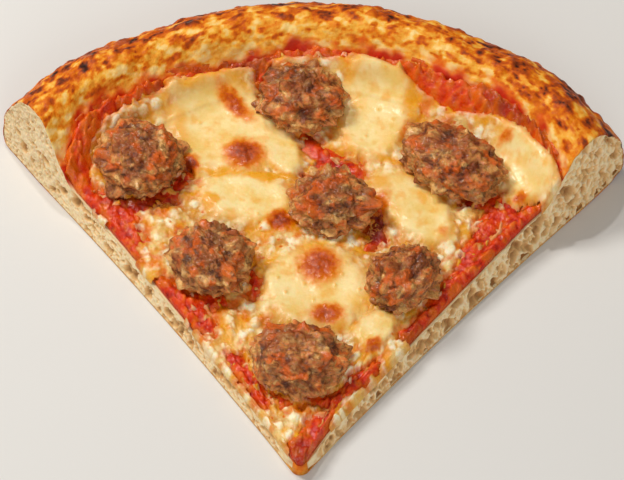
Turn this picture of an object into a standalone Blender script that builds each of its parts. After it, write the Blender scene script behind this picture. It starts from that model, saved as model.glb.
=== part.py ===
"""Pizza slice with a puffy crust, tomato sauce, melted mozzarella and chunks of sausage.

Lengths are in metres, angles in radians, +Z is up and the tip points to -Y. Every shape is worked out
in flat polar form about the apex, the point where the two cut lines would meet. The function place
then leans and bows the cut sides and moves the middle of the plan over the origin.
"""
import math

import bpy
import numpy as np
from mathutils import Vector, noise

GAP = 0.0003

# Plan of the slice
CUT_LEFT = math.radians(-36.9)
CUT_RIGHT = math.radians(41.7)
CUT_LEAN = math.tan(math.radians(7.0))
CUT_BOW = -0.0012
CUT_BOW_LENGTH = 0.124
CUT_ROUNDING = 0.0009
TIP_ROUNDING = 0.0030
SAUCE_TIP_ROUNDING = 0.0048
MIDDLE_X = 0.0032
MIDDLE_Y = 0.0784

# Crust
CRUST_RADIUS = 0.1550
CRUST_DROP = 0.0135
CRUST_DROP_ANGLE = math.radians(38.5)
CRUST_MIDDLE = math.radians(1.5)
CRUST_HEIGHT = 0.0255
CRUST_HEIGHT_SLOPE = 0.00143
CRUST_WIDTH = 0.031
CRUST_WIDTH_GAIN = 0.005
CRUST_BLISTER = 0.0008
FOOT_SHARE = 1.06
FOOT_HEIGHT = 0.36

# Swellings and hollows of the outer edge: angle in degrees, height, spread in degrees
CRUST_SWELLS = (
    (-36.9, 0.0014, 2.6),
    (-28.0, 0.0008, 4.0),
    (-17.0, -0.0011, 6.5),
    (19.5, -0.0011, 4.5),
    (38.5, -0.0012, 4.0),
    (42.5, -0.0010, 2.2),
)

# Section of the crust: share of its width in from the outer edge, share of its height
CROWN = (
    (0.0, 0.22),
    (0.02, 0.38),
    (0.07, 0.57),
    (0.16, 0.77),
    (0.28, 0.93),
    (0.42, 1.0),
    (0.56, 0.97),
    (0.68, 0.83),
    (0.80, 0.62),
    (0.92, 0.44),
    (FOOT_SHARE, FOOT_HEIGHT),
)
SKIRT = ((0.012, 0.11), (0.06, 0.03), (0.17, 0.0))

# Base under the toppings
BASE_TIP_HEIGHT = 0.0042
BASE_WAVE = 0.00035
BASE_WAVE_LENGTH = 0.030

# Sauce
SAUCE_DEPTH = 0.0010
SAUCE_EDGE_DEPTH = 0.0004
SAUCE_LUMP = 0.0004
SAUCE_LUMP_LENGTH = 0.009
SAUCE_SHARE = 0.73
SAUCE_SHARE_SWELLS = ((-36.9, 0.13, 2.5), (-10.0, 0.06, 5.0), (28.0, -0.05, 9.0))

# Cheese
CHEESE_EDGE = 0.0006
CHEESE_RUN = 0.0018

# Grid of the sweep
COLUMNS = 38
BASE_ROWS = 11
CLIMB_ROWS = 4
CROWN_ROWS = 9
BOTTOM_STATIONS = (0.72, 0.45, 0.2)

# Melted pools: name, plan from the apex, half sizes, turn in degrees, depth at the middle
POOLS = (
    ("mozzarella_back_left", -0.0222, 0.1095, 0.0185, 0.0165, 0.0, 0.0026),
    ("mozzarella_back_right", 0.0205, 0.1160, 0.0125, 0.0190, -8.0, 0.0026),
    ("mozzarella_right", 0.0628, 0.0925, 0.0105, 0.0150, 28.0, 0.0025),
    ("mozzarella_middle_right", 0.0355, 0.0800, 0.0190, 0.0110, -42.0, 0.0026),
    ("mozzarella_middle", -0.0150, 0.0850, 0.0185, 0.0125, 0.0, 0.0024),
    ("mozzarella_left", -0.0355, 0.0745, 0.0095, 0.0175, -28.0, 0.0022),
    ("mozzarella_front", 0.0040, 0.0570, 0.0185, 0.0160, -25.0, 0.0030),
    ("mozzarella_front_right", 0.0190, 0.0395, 0.0085, 0.0115, 40.0, 0.0022),
    ("mozzarella_front_left", -0.0165, 0.0435, 0.0068, 0.0105, -35.0, 0.0022),
    ("mozzarella_tip", -0.0020, 0.0160, 0.0070, 0.0060, 0.0, 0.0020),
)

# Sausage chunks: name, plan from the apex, half sizes, turn in degrees, height above the sauce
CHUNKS = (
    ("sausage_left", -0.0456, 0.0950, 0.0124, 0.0128, 0.0, 0.0118),
    ("sausage_back", 0.0002, 0.1185, 0.0128, 0.0114, -25.0, 0.0112),
    ("sausage_right", 0.0428, 0.0942, 0.0170, 0.0122, -40.0, 0.0118),
    ("sausage_middle", 0.0088, 0.0822, 0.0112, 0.0104, -30.0, 0.0104),
    ("sausage_front_left", -0.0250, 0.0620, 0.0120, 0.0120, 10.0, 0.0112),
    ("sausage_front_right", 0.0290, 0.0552, 0.0112, 0.0112, 0.0, 0.0110),
    ("sausage_tip", -0.0006, 0.0310, 0.0128, 0.0110, -10.0, 0.0105),
)
CHUNK_ROUGH = 0.0015
CHUNK_CLEARANCE = 0.0006
CHUNK_SIDES = 22
CHUNK_RINGS = 9

POOL_SIDES = 26
POOL_RINGS = (0.34, 0.66, 0.88, 1.0)
POOL_STEP = 0.0002


def swells(angle, table):
    """Sum of the named swellings at an angle."""
    total = 0.0
    for centre, height, spread in table:
        total += height * math.exp(-(((math.degrees(angle) - centre) / spread) ** 2))
    return total


def crust_radius(angle):
    """Distance of the outer edge of the crust from the apex."""
    fall = ((angle - CRUST_MIDDLE) / CRUST_DROP_ANGLE) ** 2
    return CRUST_RADIUS - CRUST_DROP * fall + swells(angle, CRUST_SWELLS)


def crust_height(angle):
    """Height of the crown of the crust."""
    return CRUST_HEIGHT - CRUST_HEIGHT_SLOPE * angle


def crust_width(angle):
    """Width of the crust, from its outer edge to the base that carries the toppings."""
    return CRUST_WIDTH + CRUST_WIDTH_GAIN * (angle / CRUST_DROP_ANGLE) ** 2


def smooth_curve(points, steps):
    """Smooth curve through the points, with the given number of steps between two of them."""
    p = np.array(points, float)
    p = np.vstack([2.0 * p[0] - p[1], p, 2.0 * p[-1] - p[-2]])
    curve = []
    for i in range(1, len(p) - 2):
        a, b, c, d = p[i - 1:i + 3]
        for t in np.linspace(0.0, 1.0, steps, endpoint=False):
            cubic = (3.0 * b - a - 3.0 * c + d) * t ** 3
            square = (2.0 * a - 5.0 * b + 4.0 * c - d) * t ** 2
            curve.append(0.5 * (2.0 * b + (c - a) * t + square + cubic))
    curve.append(p[-2])
    return np.array(curve)


CROWN_CURVE = smooth_curve(CROWN, 12)


def crown_height(share):
    """Share of the crust height at a share of the crust width."""
    return float(np.interp(share, CROWN_CURVE[:, 0], CROWN_CURVE[:, 1]))


def wave(radius, angle, length, seed):
    """Gentle uneven wave between about -1 and 1 over the plan."""
    x = radius * math.sin(angle) / length
    y = radius * math.cos(angle) / length
    return 1.6 * noise.noise(Vector((x, y, seed)))


def dough_top(radius, angle):
    """Height of the dough under the toppings, up the inner slope of the crust."""
    outer = crust_radius(angle)
    width = crust_width(angle)
    height = crust_height(angle)
    foot = outer - FOOT_SHARE * width
    if radius > foot:
        return height * crown_height((outer - radius) / width)
    share = max(radius / foot, 0.0)
    rise = (FOOT_HEIGHT * height - BASE_TIP_HEIGHT) * share ** 1.6
    calm = min(1.0, (foot - radius) / 0.015, radius / 0.015)
    return BASE_TIP_HEIGHT + rise + calm * BASE_WAVE * wave(radius, angle, BASE_WAVE_LENGTH, 3.7)


def tip_radius(angle, rounding):
    """Distance from the apex to the rounded tip, which touches both cut lines."""
    half = 0.5 * (CUT_RIGHT - CUT_LEFT)
    off = angle - 0.5 * (CUT_LEFT + CUT_RIGHT)
    centre = rounding / math.sin(half)
    inside = max(rounding ** 2 - (centre * math.sin(off)) ** 2, 0.0)
    return centre * math.cos(off) - math.sqrt(inside)


def place(radius, angle, height):
    """Point of the finished slice for a flat polar point."""
    share = (angle - CUT_LEFT) / (CUT_RIGHT - CUT_LEFT)
    left = min(max(1.0 - 4.0 * share, 0.0), 1.0)
    right = min(max(4.0 * share - 3.0, 0.0), 1.0)
    bow = CUT_BOW * math.sin(math.pi * min(max(radius / CUT_BOW_LENGTH, 0.0), 1.0))
    out = bow - CUT_LEAN * height
    x = radius * math.sin(angle)
    y = radius * math.cos(angle)
    x += out * (right * math.cos(CUT_RIGHT) - left * math.cos(CUT_LEFT))
    y += out * (left * math.sin(CUT_LEFT) - right * math.sin(CUT_RIGHT))
    return (x - MIDDLE_X, y - MIDDLE_Y, height)


def column_angle(index, radius):
    """Angle of a column of the sweep, with one column close to each cut side."""
    full = (CUT_RIGHT - CUT_LEFT) / COLUMNS
    near = min(CUT_ROUNDING / max(radius, 1e-6), 0.35 * full)
    if index == 0:
        return CUT_LEFT
    if index == 1:
        return CUT_LEFT + near
    if index == COLUMNS + 2:
        return CUT_RIGHT
    if index == COLUMNS + 1:
        return CUT_RIGHT - near
    return CUT_LEFT + (index - 1) * full


def new_material(name, colour, roughness, subsurface):
    """Plain material for one kind of food."""
    material = bpy.data.materials.new(name)
    material.use_nodes = True
    shader = material.node_tree.nodes["Principled BSDF"]
    shader.inputs["Base Color"].default_value = (*colour, 1.0)
    shader.inputs["Roughness"].default_value = roughness
    shader.inputs["Subsurface Weight"].default_value = subsurface
    shader.inputs["Subsurface Scale"].default_value = 0.002
    material.diffuse_color = (*colour, 1.0)
    return material


def add_body(name, points, faces, material):
    """Mesh object from points and faces, smooth shaded."""
    mesh = bpy.data.meshes.new(name)
    mesh.from_pydata([tuple(p) for p in points], [], faces)
    mesh.validate()
    for polygon in mesh.polygons:
        polygon.use_smooth = True
    mesh.materials.append(material)
    body = bpy.data.objects.new(name, mesh)
    bpy.context.scene.collection.objects.link(body)
    return body


def sweep_faces(columns, ring):
    """Triangles between neighbouring closed rings of a sweep, outward for a left to right sweep."""
    faces = []
    for j in range(columns - 1):
        for i in range(ring):
            a = j * ring + i
            b = j * ring + (i + 1) % ring
            c = a + ring
            d = b + ring
            faces.append((a, c, b))
            faces.append((b, c, d))
    return faces


def cap_faces(first, upper, lower, top_radii, bottom_radii, flip):
    """Triangles that close a sweep between the upper and the lower edge of an end ring."""
    faces = []
    i = 0
    k = 0
    while i < len(upper) - 1 or k < len(lower) - 1:
        step_up = k == len(lower) - 1
        if not step_up and i < len(upper) - 1:
            step_up = top_radii[i + 1] <= bottom_radii[k + 1]
        if step_up:
            face = (upper[i], upper[i + 1], lower[k])
            i += 1
        else:
            face = (upper[i], lower[k + 1], lower[k])
            k += 1
        if len(set(face)) == 3:
            faces.append(tuple(first + v for v in (face[::-1] if flip else face)))
    return faces


def inset(ring, depth):
    """Closed ring of section points moved inward by a depth given for each point."""
    moved = []
    count = len(ring)
    for i in range(count):
        before = ring[i - 1]
        after = ring[(i + 1) % count]
        along = (after[0] - before[0], after[1] - before[1])
        length = math.hypot(*along)
        moved.append((ring[i][0] + along[1] / length * depth[i], ring[i][1] - along[0] / length * depth[i]))
    return moved


def sauce_share(angle):
    """Share of the crust width at which the sauce ends."""
    return SAUCE_SHARE + swells(angle, SAUCE_SHARE_SWELLS)


def topping_radii(angle, rounding):
    """Radii of the rows from the tip to the upper edge of the sauce."""
    outer = crust_radius(angle)
    width = crust_width(angle)
    foot = outer - FOOT_SHARE * width
    start = tip_radius(angle, rounding)
    rows = list(np.linspace(start, foot, BASE_ROWS + 1)[:-1])
    shares = np.linspace(FOOT_SHARE, sauce_share(angle), CLIMB_ROWS)
    rows.extend(outer - share * width for share in shares)
    return rows


def dough_ring(j):
    """Section of the dough at one column: polar points from the tip over the crown and back below."""
    rows = topping_radii(column_angle(j, 0.12), TIP_ROUNDING)
    points = []
    for radius in rows:
        angle = column_angle(j, radius)
        points.append((radius, angle, dough_top(radius, angle)))
    angle = column_angle(j, 0.14)
    outer = crust_radius(angle)
    width = crust_width(angle)
    height = crust_height(angle)
    crown = []
    for share in np.linspace(sauce_share(angle), 0.0, CROWN_ROWS + 1)[1:]:
        eased = share if share > 0.25 else 0.25 * (share / 0.25) ** 1.6
        crown.append((outer - eased * width, height * crown_height(eased)))
    crown.extend((outer - share * width, height * rise) for share, rise in SKIRT)
    blistered = []
    for i, (radius, level) in enumerate(crown):
        x = radius * math.sin(angle)
        y = radius * math.cos(angle)
        lump = noise.noise(Vector((x / 0.013, y / 0.013, level / 0.010 + 5.1)))
        fine = noise.noise(Vector((x / 0.006, y / 0.006, level / 0.006 + 8.3)))
        reach = min(1.0, (i + 1) / 3.0) * min(1.0, level / 0.006)
        push = CRUST_BLISTER * reach * (lump + 0.5 * fine)
        tilt = math.atan2(level - 0.4 * height, radius - (outer - 0.45 * width))
        blistered.append((radius + push * math.cos(tilt), angle, level + push * math.sin(tilt)))
    points.extend(blistered)
    last = points[-1][0]
    for share in BOTTOM_STATIONS:
        radius = last * share
        points.append((radius, column_angle(j, radius), 0.0))
    start = tip_radius(column_angle(j, 0.004), TIP_ROUNDING)
    points.append((start, column_angle(j, start), 0.0))
    return points, len(rows), len(crown)


def build_dough(material):
    """Base and crust in one body."""
    points = []
    rings = []
    for j in range(COLUMNS + 3):
        ring, base_count, crown_count = dough_ring(j)
        if j in (0, COLUMNS + 2):
            flat = [(p[0], p[2]) for p in ring]
            depth = [0.0] * base_count
            depth += [CUT_ROUNDING * min(1.0, (i + 1) / 3.0) * 0.8 for i in range(crown_count)]
            depth += [0.0] * (len(ring) - len(depth))
            depth[base_count + crown_count - 1] = 0.0
            shrunk = inset(flat, depth)
            ring = [(s[0], p[1], max(s[1], 0.0)) for s, p in zip(shrunk, ring)]
        rings.append(ring)
        points.extend(place(*p) for p in ring)
    size = len(rings[0])
    faces = sweep_faces(COLUMNS + 3, size)
    upper = list(range(base_count + crown_count - 1))
    lower = list(range(size - 1, base_count + crown_count - 2, -1))
    for j, flip in ((0, False), (COLUMNS + 2, True)):
        ring = rings[j]
        top_radii = list(np.maximum.accumulate([ring[i][0] for i in upper]))
        bottom_radii = [ring[i][0] for i in lower]
        faces += cap_faces(j * size, upper, lower, top_radii, bottom_radii, flip)
    return add_body("dough", points, faces, material)


class Layer:
    """Sauce layer, which also tells the height that other toppings rest on."""

    def __init__(self):
        """Work out the lower and the upper surface of the layer on the grid of the sweep."""
        self.radius = []
        self.low = []
        self.high = []
        for j in range(COLUMNS + 3):
            rows = topping_radii(column_angle(j, 0.12), SAUCE_TIP_ROUNDING)
            angles = [column_angle(j, radius) for radius in rows]
            flat = [(radius, dough_top(radius, angle)) for radius, angle in zip(rows, angles)]
            low = []
            high = []
            for i, (radius, level) in enumerate(flat):
                before = flat[max(i - 1, 0)]
                after = flat[min(i + 1, len(flat) - 1)]
                slope = (after[1] - before[1]) / (after[0] - before[0])
                steep = math.sqrt(1.0 + slope * slope)
                depth = self.depth(i, len(flat), radius, angles[i])
                low.append(level + GAP * steep)
                high.append(level + (GAP + depth) * steep)
            self.radius.append(rows)
            self.low.append(low)
            self.high.append(high)

    @staticmethod
    def depth(row, count, radius, angle):
        """Depth of the layer, lumpy where nothing covers it and thin at its outer edge."""
        fade = min(1.0, (count - 1 - row) / 3.0)
        depth = SAUCE_EDGE_DEPTH + (SAUCE_DEPTH - SAUCE_EDGE_DEPTH) * fade
        bare = bare_share(radius * math.sin(angle), radius * math.cos(angle))
        lump = 0.5 + 0.5 * wave(radius, angle, SAUCE_LUMP_LENGTH, 9.2)
        return depth + fade * bare * SAUCE_LUMP * lump

    def top(self, x, y):
        """Height of the upper surface at a flat plan point."""
        radius = math.hypot(x, y)
        angle = min(max(math.atan2(x, y), CUT_LEFT), CUT_RIGHT)
        column = (angle - CUT_LEFT) / (CUT_RIGHT - CUT_LEFT) * COLUMNS
        j = min(int(column), COLUMNS - 1)
        part = column - j
        levels = []
        for k in (j, j + 1):
            index = 0 if k == 0 else (COLUMNS + 2 if k == COLUMNS else k + 1)
            levels.append(float(np.interp(radius, self.radius[index], self.high[index])))
        return levels[0] * (1.0 - part) + levels[1] * part

    def build(self, material):
        """Body of the layer."""
        points = []
        for j in range(COLUMNS + 3):
            rows = self.radius[j]
            for radius, level in zip(rows, self.high[j]):
                points.append(place(radius, column_angle(j, radius), level))
            for radius, level in zip(rows[::-1], self.low[j][::-1]):
                points.append(place(radius, column_angle(j, radius), level))
        count = len(self.radius[0])
        size = 2 * count
        faces = sweep_faces(COLUMNS + 3, size)
        upper = list(range(count))
        lower = list(range(size - 1, count - 1, -1))
        for j, flip in ((0, False), (COLUMNS + 2, True)):
            faces += cap_faces(j * size, upper, lower, self.radius[j], self.radius[j], flip)
        return add_body("tomato_sauce", points, faces, material)


def ellipse_measure(x, y, spot):
    """Distance of a plan point from the middle of a pool or chunk, as a share of its half sizes."""
    turn = math.radians(spot[5])
    dx = x - spot[1]
    dy = y - spot[2]
    along = dx * math.cos(turn) + dy * math.sin(turn)
    across = dy * math.cos(turn) - dx * math.sin(turn)
    return math.hypot(along / spot[3], across / spot[4])


def bare_share(x, y):
    """Zero under a pool or chunk, rising to one in the open sauce."""
    nearest = min(ellipse_measure(x, y, spot) for spot in POOLS + CHUNKS)
    return min(max((nearest - 1.1) / 0.3, 0.0), 1.0)


def outside(x, y, spot):
    """Distance of a plan point outside a pool or chunk, negative within it."""
    return (ellipse_measure(x, y, spot) - 1.0) * min(spot[3], spot[4])


def pool_outline(pool):
    """Reach of a pool on each side, short of the chunks, the cut sides and the other pools."""
    turn = math.radians(pool[5])
    reaches = []
    for k in range(POOL_SIDES):
        way = 2.0 * math.pi * k / POOL_SIDES
        dx = math.cos(way)
        dy = math.sin(way)
        along = dx * math.cos(turn) + dy * math.sin(turn)
        across = dy * math.cos(turn) - dx * math.sin(turn)
        full = 1.0 / math.hypot(along / pool[3], across / pool[4])
        lobe = noise.noise(Vector((pool[1] * 900.0 + 1.3 * dx, pool[2] * 900.0 + 1.3 * dy, 2.4)))
        full *= 1.0 + 0.16 * lobe
        reach = POOL_STEP
        while reach < full and pool_free(pool[1] + dx * reach, pool[2] + dy * reach, pool):
            reach += POOL_STEP
        reaches.append(reach - POOL_STEP)
    eased = []
    for k, reach in enumerate(reaches):
        before = reaches[k - 1]
        after = reaches[(k + 1) % POOL_SIDES]
        eased.append(min(reach, 0.25 * before + 0.5 * reach + 0.25 * after))
    return eased


def pool_free(x, y, pool):
    """Whether a pool may cover a plan point."""
    radius = math.hypot(x, y)
    angle = math.atan2(x, y)
    if radius * math.sin(min(angle - CUT_LEFT, 1.5)) < CUT_ROUNDING:
        return False
    if radius * math.sin(min(CUT_RIGHT - angle, 1.5)) < CUT_ROUNDING:
        return False
    if radius > crust_radius(angle) - (sauce_share(angle) + 0.08) * crust_width(angle):
        return False
    if any(outside(x, y, chunk) < CHUNK_CLEARANCE for chunk in CHUNKS):
        return False
    own = outside(x, y, pool)
    return all(outside(x, y, other) > own + 2.0 * GAP for other in POOLS if other is not pool)


def plan_point(x, y, height):
    """Point of the finished slice for a flat plan point."""
    return place(math.hypot(x, y), math.atan2(x, y), height)


def build_pool(pool, layer, material):
    """Melted pool with a rounded edge, resting on the sauce."""
    reaches = pool_outline(pool)
    depth = pool[6]
    points = []
    for level in ("upper", "lower"):
        shares = (0.0,) + POOL_RINGS
        for share in shares:
            sides = range(1) if share == 0.0 else range(POOL_SIDES)
            for k in sides:
                way = 2.0 * math.pi * k / POOL_SIDES
                x = pool[1] + reaches[k] * share * math.cos(way)
                y = pool[2] + reaches[k] * share * math.sin(way)
                rest = layer.top(x, y) + GAP
                if level == "lower":
                    points.append(plan_point(x, y, rest))
                    continue
                near = reaches[k] * (1.0 - share)
                swell = 1.0 - math.exp(-near / CHEESE_RUN)
                bump = 1.0 + 0.22 * wave(math.hypot(x, y), math.atan2(x, y), 0.008, 6.6)
                points.append(plan_point(x, y, rest + CHEESE_EDGE + (depth - CHEESE_EDGE) * swell * bump))
    half = len(points) // 2
    return add_body(pool[0], points, disc_faces(half, len(POOL_RINGS), POOL_SIDES), material)


def disc_faces(half, rings, sides):
    """Triangles of a body made of an upper and a lower disc of rings that share their outline."""
    faces = []
    for base, flip in ((0, False), (half, True)):
        for k in range(sides):
            n = (k + 1) % sides
            fan = (base, base + 1 + k, base + 1 + n)
            faces.append(fan[::-1] if flip else fan)
            for r in range(rings - 1):
                a = base + 1 + r * sides
                b = a + sides
                pair = ((a + k, b + k, b + n), (a + k, b + n, a + n))
                faces.extend(f[::-1] if flip else f for f in pair)
    rim = 1 + (rings - 1) * sides
    for k in range(sides):
        n = (k + 1) % sides
        faces.append((rim + k, half + rim + k, half + rim + n))
        faces.append((rim + k, half + rim + n, rim + n))
    return faces


def build_chunk(chunk, layer, material):
    """Craggy chunk with a flattened foot, resting on the sauce."""
    turn = math.radians(chunk[5])
    middle = layer.top(chunk[1], chunk[2]) + GAP + 0.36 * chunk[6]
    points = []
    for ring in range(CHUNK_RINGS + 2):
        tilt = math.pi * ring / (CHUNK_RINGS + 1)
        sides = 1 if ring in (0, CHUNK_RINGS + 1) else CHUNK_SIDES
        for k in range(sides):
            way = 2.0 * math.pi * (k + 0.5 * (ring % 2)) / CHUNK_SIDES
            ux = math.sin(tilt) * math.cos(way)
            uy = math.sin(tilt) * math.sin(way)
            uz = math.cos(tilt)
            spot = Vector((ux * 2.2 + chunk[1] * 700.0, uy * 2.2 + chunk[2] * 700.0, uz * 2.2))
            lump = noise.noise(spot) + 0.8 * noise.noise(spot * 2.3)
            grow = 1.0 - CHUNK_ROUGH / chunk[3] + CHUNK_ROUGH / chunk[3] * max(min(lump, 1.0), -1.6)
            along = chunk[3] * grow * ux
            across = chunk[4] * grow * uy
            x = chunk[1] + along * math.cos(turn) - across * math.sin(turn)
            y = chunk[2] + along * math.sin(turn) + across * math.cos(turn)
            rise = chunk[6] * (0.64 if uz > 0.0 else 0.5) * grow * uz
            level = max(middle + rise, layer.top(x, y) + GAP)
            points.append(plan_point(x, y, level))
    return add_body(chunk[0], points, ball_faces(CHUNK_RINGS, CHUNK_SIDES), material)


def ball_faces(rings, sides):
    """Triangles of a body made of rings between an upper and a lower pole."""
    faces = []
    last = 1 + rings * sides
    for k in range(sides):
        n = (k + 1) % sides
        faces.append((0, 1 + k, 1 + n))
        faces.append((last, last - sides + n, last - sides + k))
    for r in range(rings - 1):
        a = 1 + r * sides
        b = a + sides
        for k in range(sides):
            n = (k + 1) % sides
            if r % 2:
                faces.append((a + k, b + k, b + n))
                faces.append((a + k, b + n, a + n))
            else:
                faces.append((a + k, b + k, a + n))
                faces.append((a + n, b + k, b + n))
    return faces


def main():
    """Build every part of the slice."""
    for old in list(bpy.data.objects):
        bpy.data.objects.remove(old, do_unlink=True)
    baked = new_material("baked_dough", (0.72, 0.45, 0.20), 0.7, 0.1)
    red = new_material("tomato_sauce", (0.45, 0.035, 0.012), 0.3, 0.15)
    melted = new_material("melted_mozzarella", (0.86, 0.72, 0.38), 0.35, 0.2)
    meat = new_material("cooked_sausage", (0.32, 0.17, 0.10), 0.6, 0.05)
    build_dough(baked)
    layer = Layer()
    layer.build(red)
    for pool in POOLS:
        build_pool(pool, layer, melted)
    for chunk in CHUNKS:
        build_chunk(chunk, layer, meat)


main()
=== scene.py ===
"""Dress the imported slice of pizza: baked dough, tomato sauce, melted cheese and sausage chunks.

Plan sizes are in millimetres in flat polar form about the apex, the point where the two cut lines
would meet, with angles in degrees from +Y towards +X. SliceForm.place leans and bows the cut sides and
turns such points into metres in the frame of the model.
"""
from __future__ import annotations

import itertools
import logging
import math
from dataclasses import dataclass, field
from enum import Enum

import bpy
import numpy as np
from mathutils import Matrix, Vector


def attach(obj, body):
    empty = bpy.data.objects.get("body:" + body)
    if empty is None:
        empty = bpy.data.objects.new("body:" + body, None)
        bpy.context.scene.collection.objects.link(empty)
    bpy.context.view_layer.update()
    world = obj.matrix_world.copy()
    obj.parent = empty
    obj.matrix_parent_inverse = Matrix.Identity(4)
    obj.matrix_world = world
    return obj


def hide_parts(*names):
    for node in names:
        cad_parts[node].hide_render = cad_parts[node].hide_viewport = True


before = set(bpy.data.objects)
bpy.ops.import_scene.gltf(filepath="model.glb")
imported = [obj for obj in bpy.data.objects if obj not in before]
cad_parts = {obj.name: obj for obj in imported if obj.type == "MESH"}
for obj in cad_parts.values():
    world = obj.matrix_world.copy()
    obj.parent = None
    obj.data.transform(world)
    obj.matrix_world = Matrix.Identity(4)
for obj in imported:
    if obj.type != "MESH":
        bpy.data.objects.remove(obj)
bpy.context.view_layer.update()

LOG = logging.getLogger("pizza_slice")
MM = 0.001
MOUND_MEAN = 0.27
Array = np.ndarray
Colour = tuple[float, ...]
Stops = tuple[tuple[float, Colour], ...]


def srgb(red: float, green: float, blue: float) -> tuple[float, float, float, float]:
    """Linear colour with full alpha from display values between 0 and 255.

    Args:
        red: Display value of red.
        green: Display value of green.
        blue: Display value of blue.

    Returns:
        Linear red, green and blue with an alpha of 1.
    """
    parts = []
    for value in (red, green, blue):
        share = value / 255.0
        parts.append(share / 12.92 if share <= 0.04045 else ((share + 0.055) / 1.055) ** 2.4)
    return (parts[0], parts[1], parts[2], 1.0)


def ease(low: float, high: float, value: Array) -> Array:
    """Smooth step from 0 at low to 1 at high, for low above high too."""
    share = np.clip((value - low) / (high - low), 0.0, 1.0)
    return share * share * (3.0 - 2.0 * share)


class Scatter:
    """Repeatable uneven fields: smooth gradient noise and scattered cells."""

    SIZE = 256
    SPREAD = 0.42

    def __init__(self, seed: int) -> None:
        """Draw the tables of the field.

        Args:
            seed: Number that fixes every random draw.
        """
        draw = np.random.default_rng(seed)
        self.order = np.tile(draw.permutation(self.SIZE), 2)
        slopes = draw.normal(size=(self.SIZE, 3))
        self.slopes = slopes / np.linalg.norm(slopes, axis=1, keepdims=True)
        self.spots = draw.random((self.SIZE, 3))

    def _pick(self, cell: Array) -> Array:
        """Table index of each whole-numbered cell.

        Args:
            cell: Rows of three whole numbers.

        Returns:
            One index for each row.
        """
        last = self.SIZE - 1
        first = self.order[cell[:, 0] & last]
        second = self.order[(first + cell[:, 1]) & last]
        return self.order[(second + cell[:, 2]) & last]

    def smooth(self, points: Array, shift: float = 0.0) -> Array:
        """Smooth noise, mostly between -1 and 1.

        Args:
            points: Rows of three coordinates, with features about one unit across.
            shift: How far the field is moved, so that two differ.

        Returns:
            One value for each row.
        """
        points = points + shift
        cell = np.floor(points).astype(np.int64)
        part = points - cell
        blend = part ** 3 * (part * (part * 6.0 - 15.0) + 10.0)
        total = np.zeros(len(points))
        for corner in itertools.product((0, 1), repeat=3):
            step = np.array(corner)
            away = part - step
            weight = np.prod(np.where(step == 1, blend, 1.0 - blend), axis=1)
            total += weight * np.einsum("ij,ij->i", self.slopes[self._pick(cell + step)], away)
        return 1.7 * total

    def rough(self, points: Array, layers: int = 3, shift: float = 0.0) -> Array:
        """Smooth noise with finer layers added, each half as strong as the one before.

        Args:
            points: Rows of three coordinates, with the broadest features about one unit across.
            layers: Number of layers.
            shift: How far the field is moved, so that two differ.

        Returns:
            One value for each row.
        """
        points = points + shift
        total = np.zeros(len(points))
        for layer in range(layers):
            total += 0.5 ** layer * self.smooth(points * 2.03 ** layer + 17.3 * layer)
        return total

    def cells(self, points: Array, shift: float = 0.0) -> tuple[Array, Array, Array]:
        """Distance to the nearest and the next scattered spot, and a random share of the nearest.

        Args:
            points: Rows of three coordinates, with about one spot in each unit cube.
            shift: How far the field is moved, so that two differ.

        Returns:
            Nearest distance, next distance and the random share of the nearest spot.
        """
        points = points + shift
        base = np.floor(points).astype(np.int64)
        near = np.full(len(points), 9.0)
        following = np.full(len(points), 9.0)
        tag = np.zeros(len(points))
        for corner in itertools.product((-1, 0, 1), repeat=3):
            cell = base + np.array(corner)
            pick = self._pick(cell)
            away = np.linalg.norm(points - cell - self.spots[pick], axis=1)
            closer = away < near
            following = np.where(closer, near, np.minimum(following, away))
            tag = np.where(closer, pick / self.SIZE, tag)
            near = np.where(closer, away, near)
        return near, following, tag

    def mounds(self, points: Array, shift: float = 0.0) -> Array:
        """Rounded heaps of uneven height at the scattered spots.

        Args:
            points: Rows of three coordinates, with about one heap in each unit cube.
            shift: How far the field is moved, so that two differ.

        Returns:
            One value for each row, about MOUND_MEAN on average and 1 on a heap.
        """
        points = points + shift
        base = np.floor(points).astype(np.int64)
        total = np.zeros(len(points))
        for corner in itertools.product((-1, 0, 1), repeat=3):
            cell = base + np.array(corner)
            pick = self._pick(cell)
            away = np.sum((points - cell - self.spots[pick]) ** 2, axis=1)
            total += (0.3 + 0.7 * pick / self.SIZE) * np.exp(-away / self.SPREAD ** 2)
        return total


@dataclass(frozen=True)
class Pattern:
    """Size in millimetres, layers and shift of one uneven pattern."""

    size: float
    layers: int = 1
    shift: float = 0.0

    def at(self, noise: Scatter, points: Array) -> Array:
        """Strength of the pattern at each point, mostly between -1 and 1."""
        return noise.rough(points / self.size, self.layers, self.shift)


@dataclass(frozen=True)
class Swell:
    """Swelling of a size at one angle."""

    angle: float
    height: float
    spread: float


def swelling(angle: Array, swells: tuple[Swell, ...]) -> Array:
    """Sum of the swellings at each angle.

    Args:
        angle: Angles in degrees.
        swells: Swellings to add up.

    Returns:
        Height of all the swellings together at each angle.
    """
    total = np.zeros_like(angle)
    for one in swells:
        total = total + one.height * np.exp(-(((angle - one.angle) / one.spread) ** 2))
    return total


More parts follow.
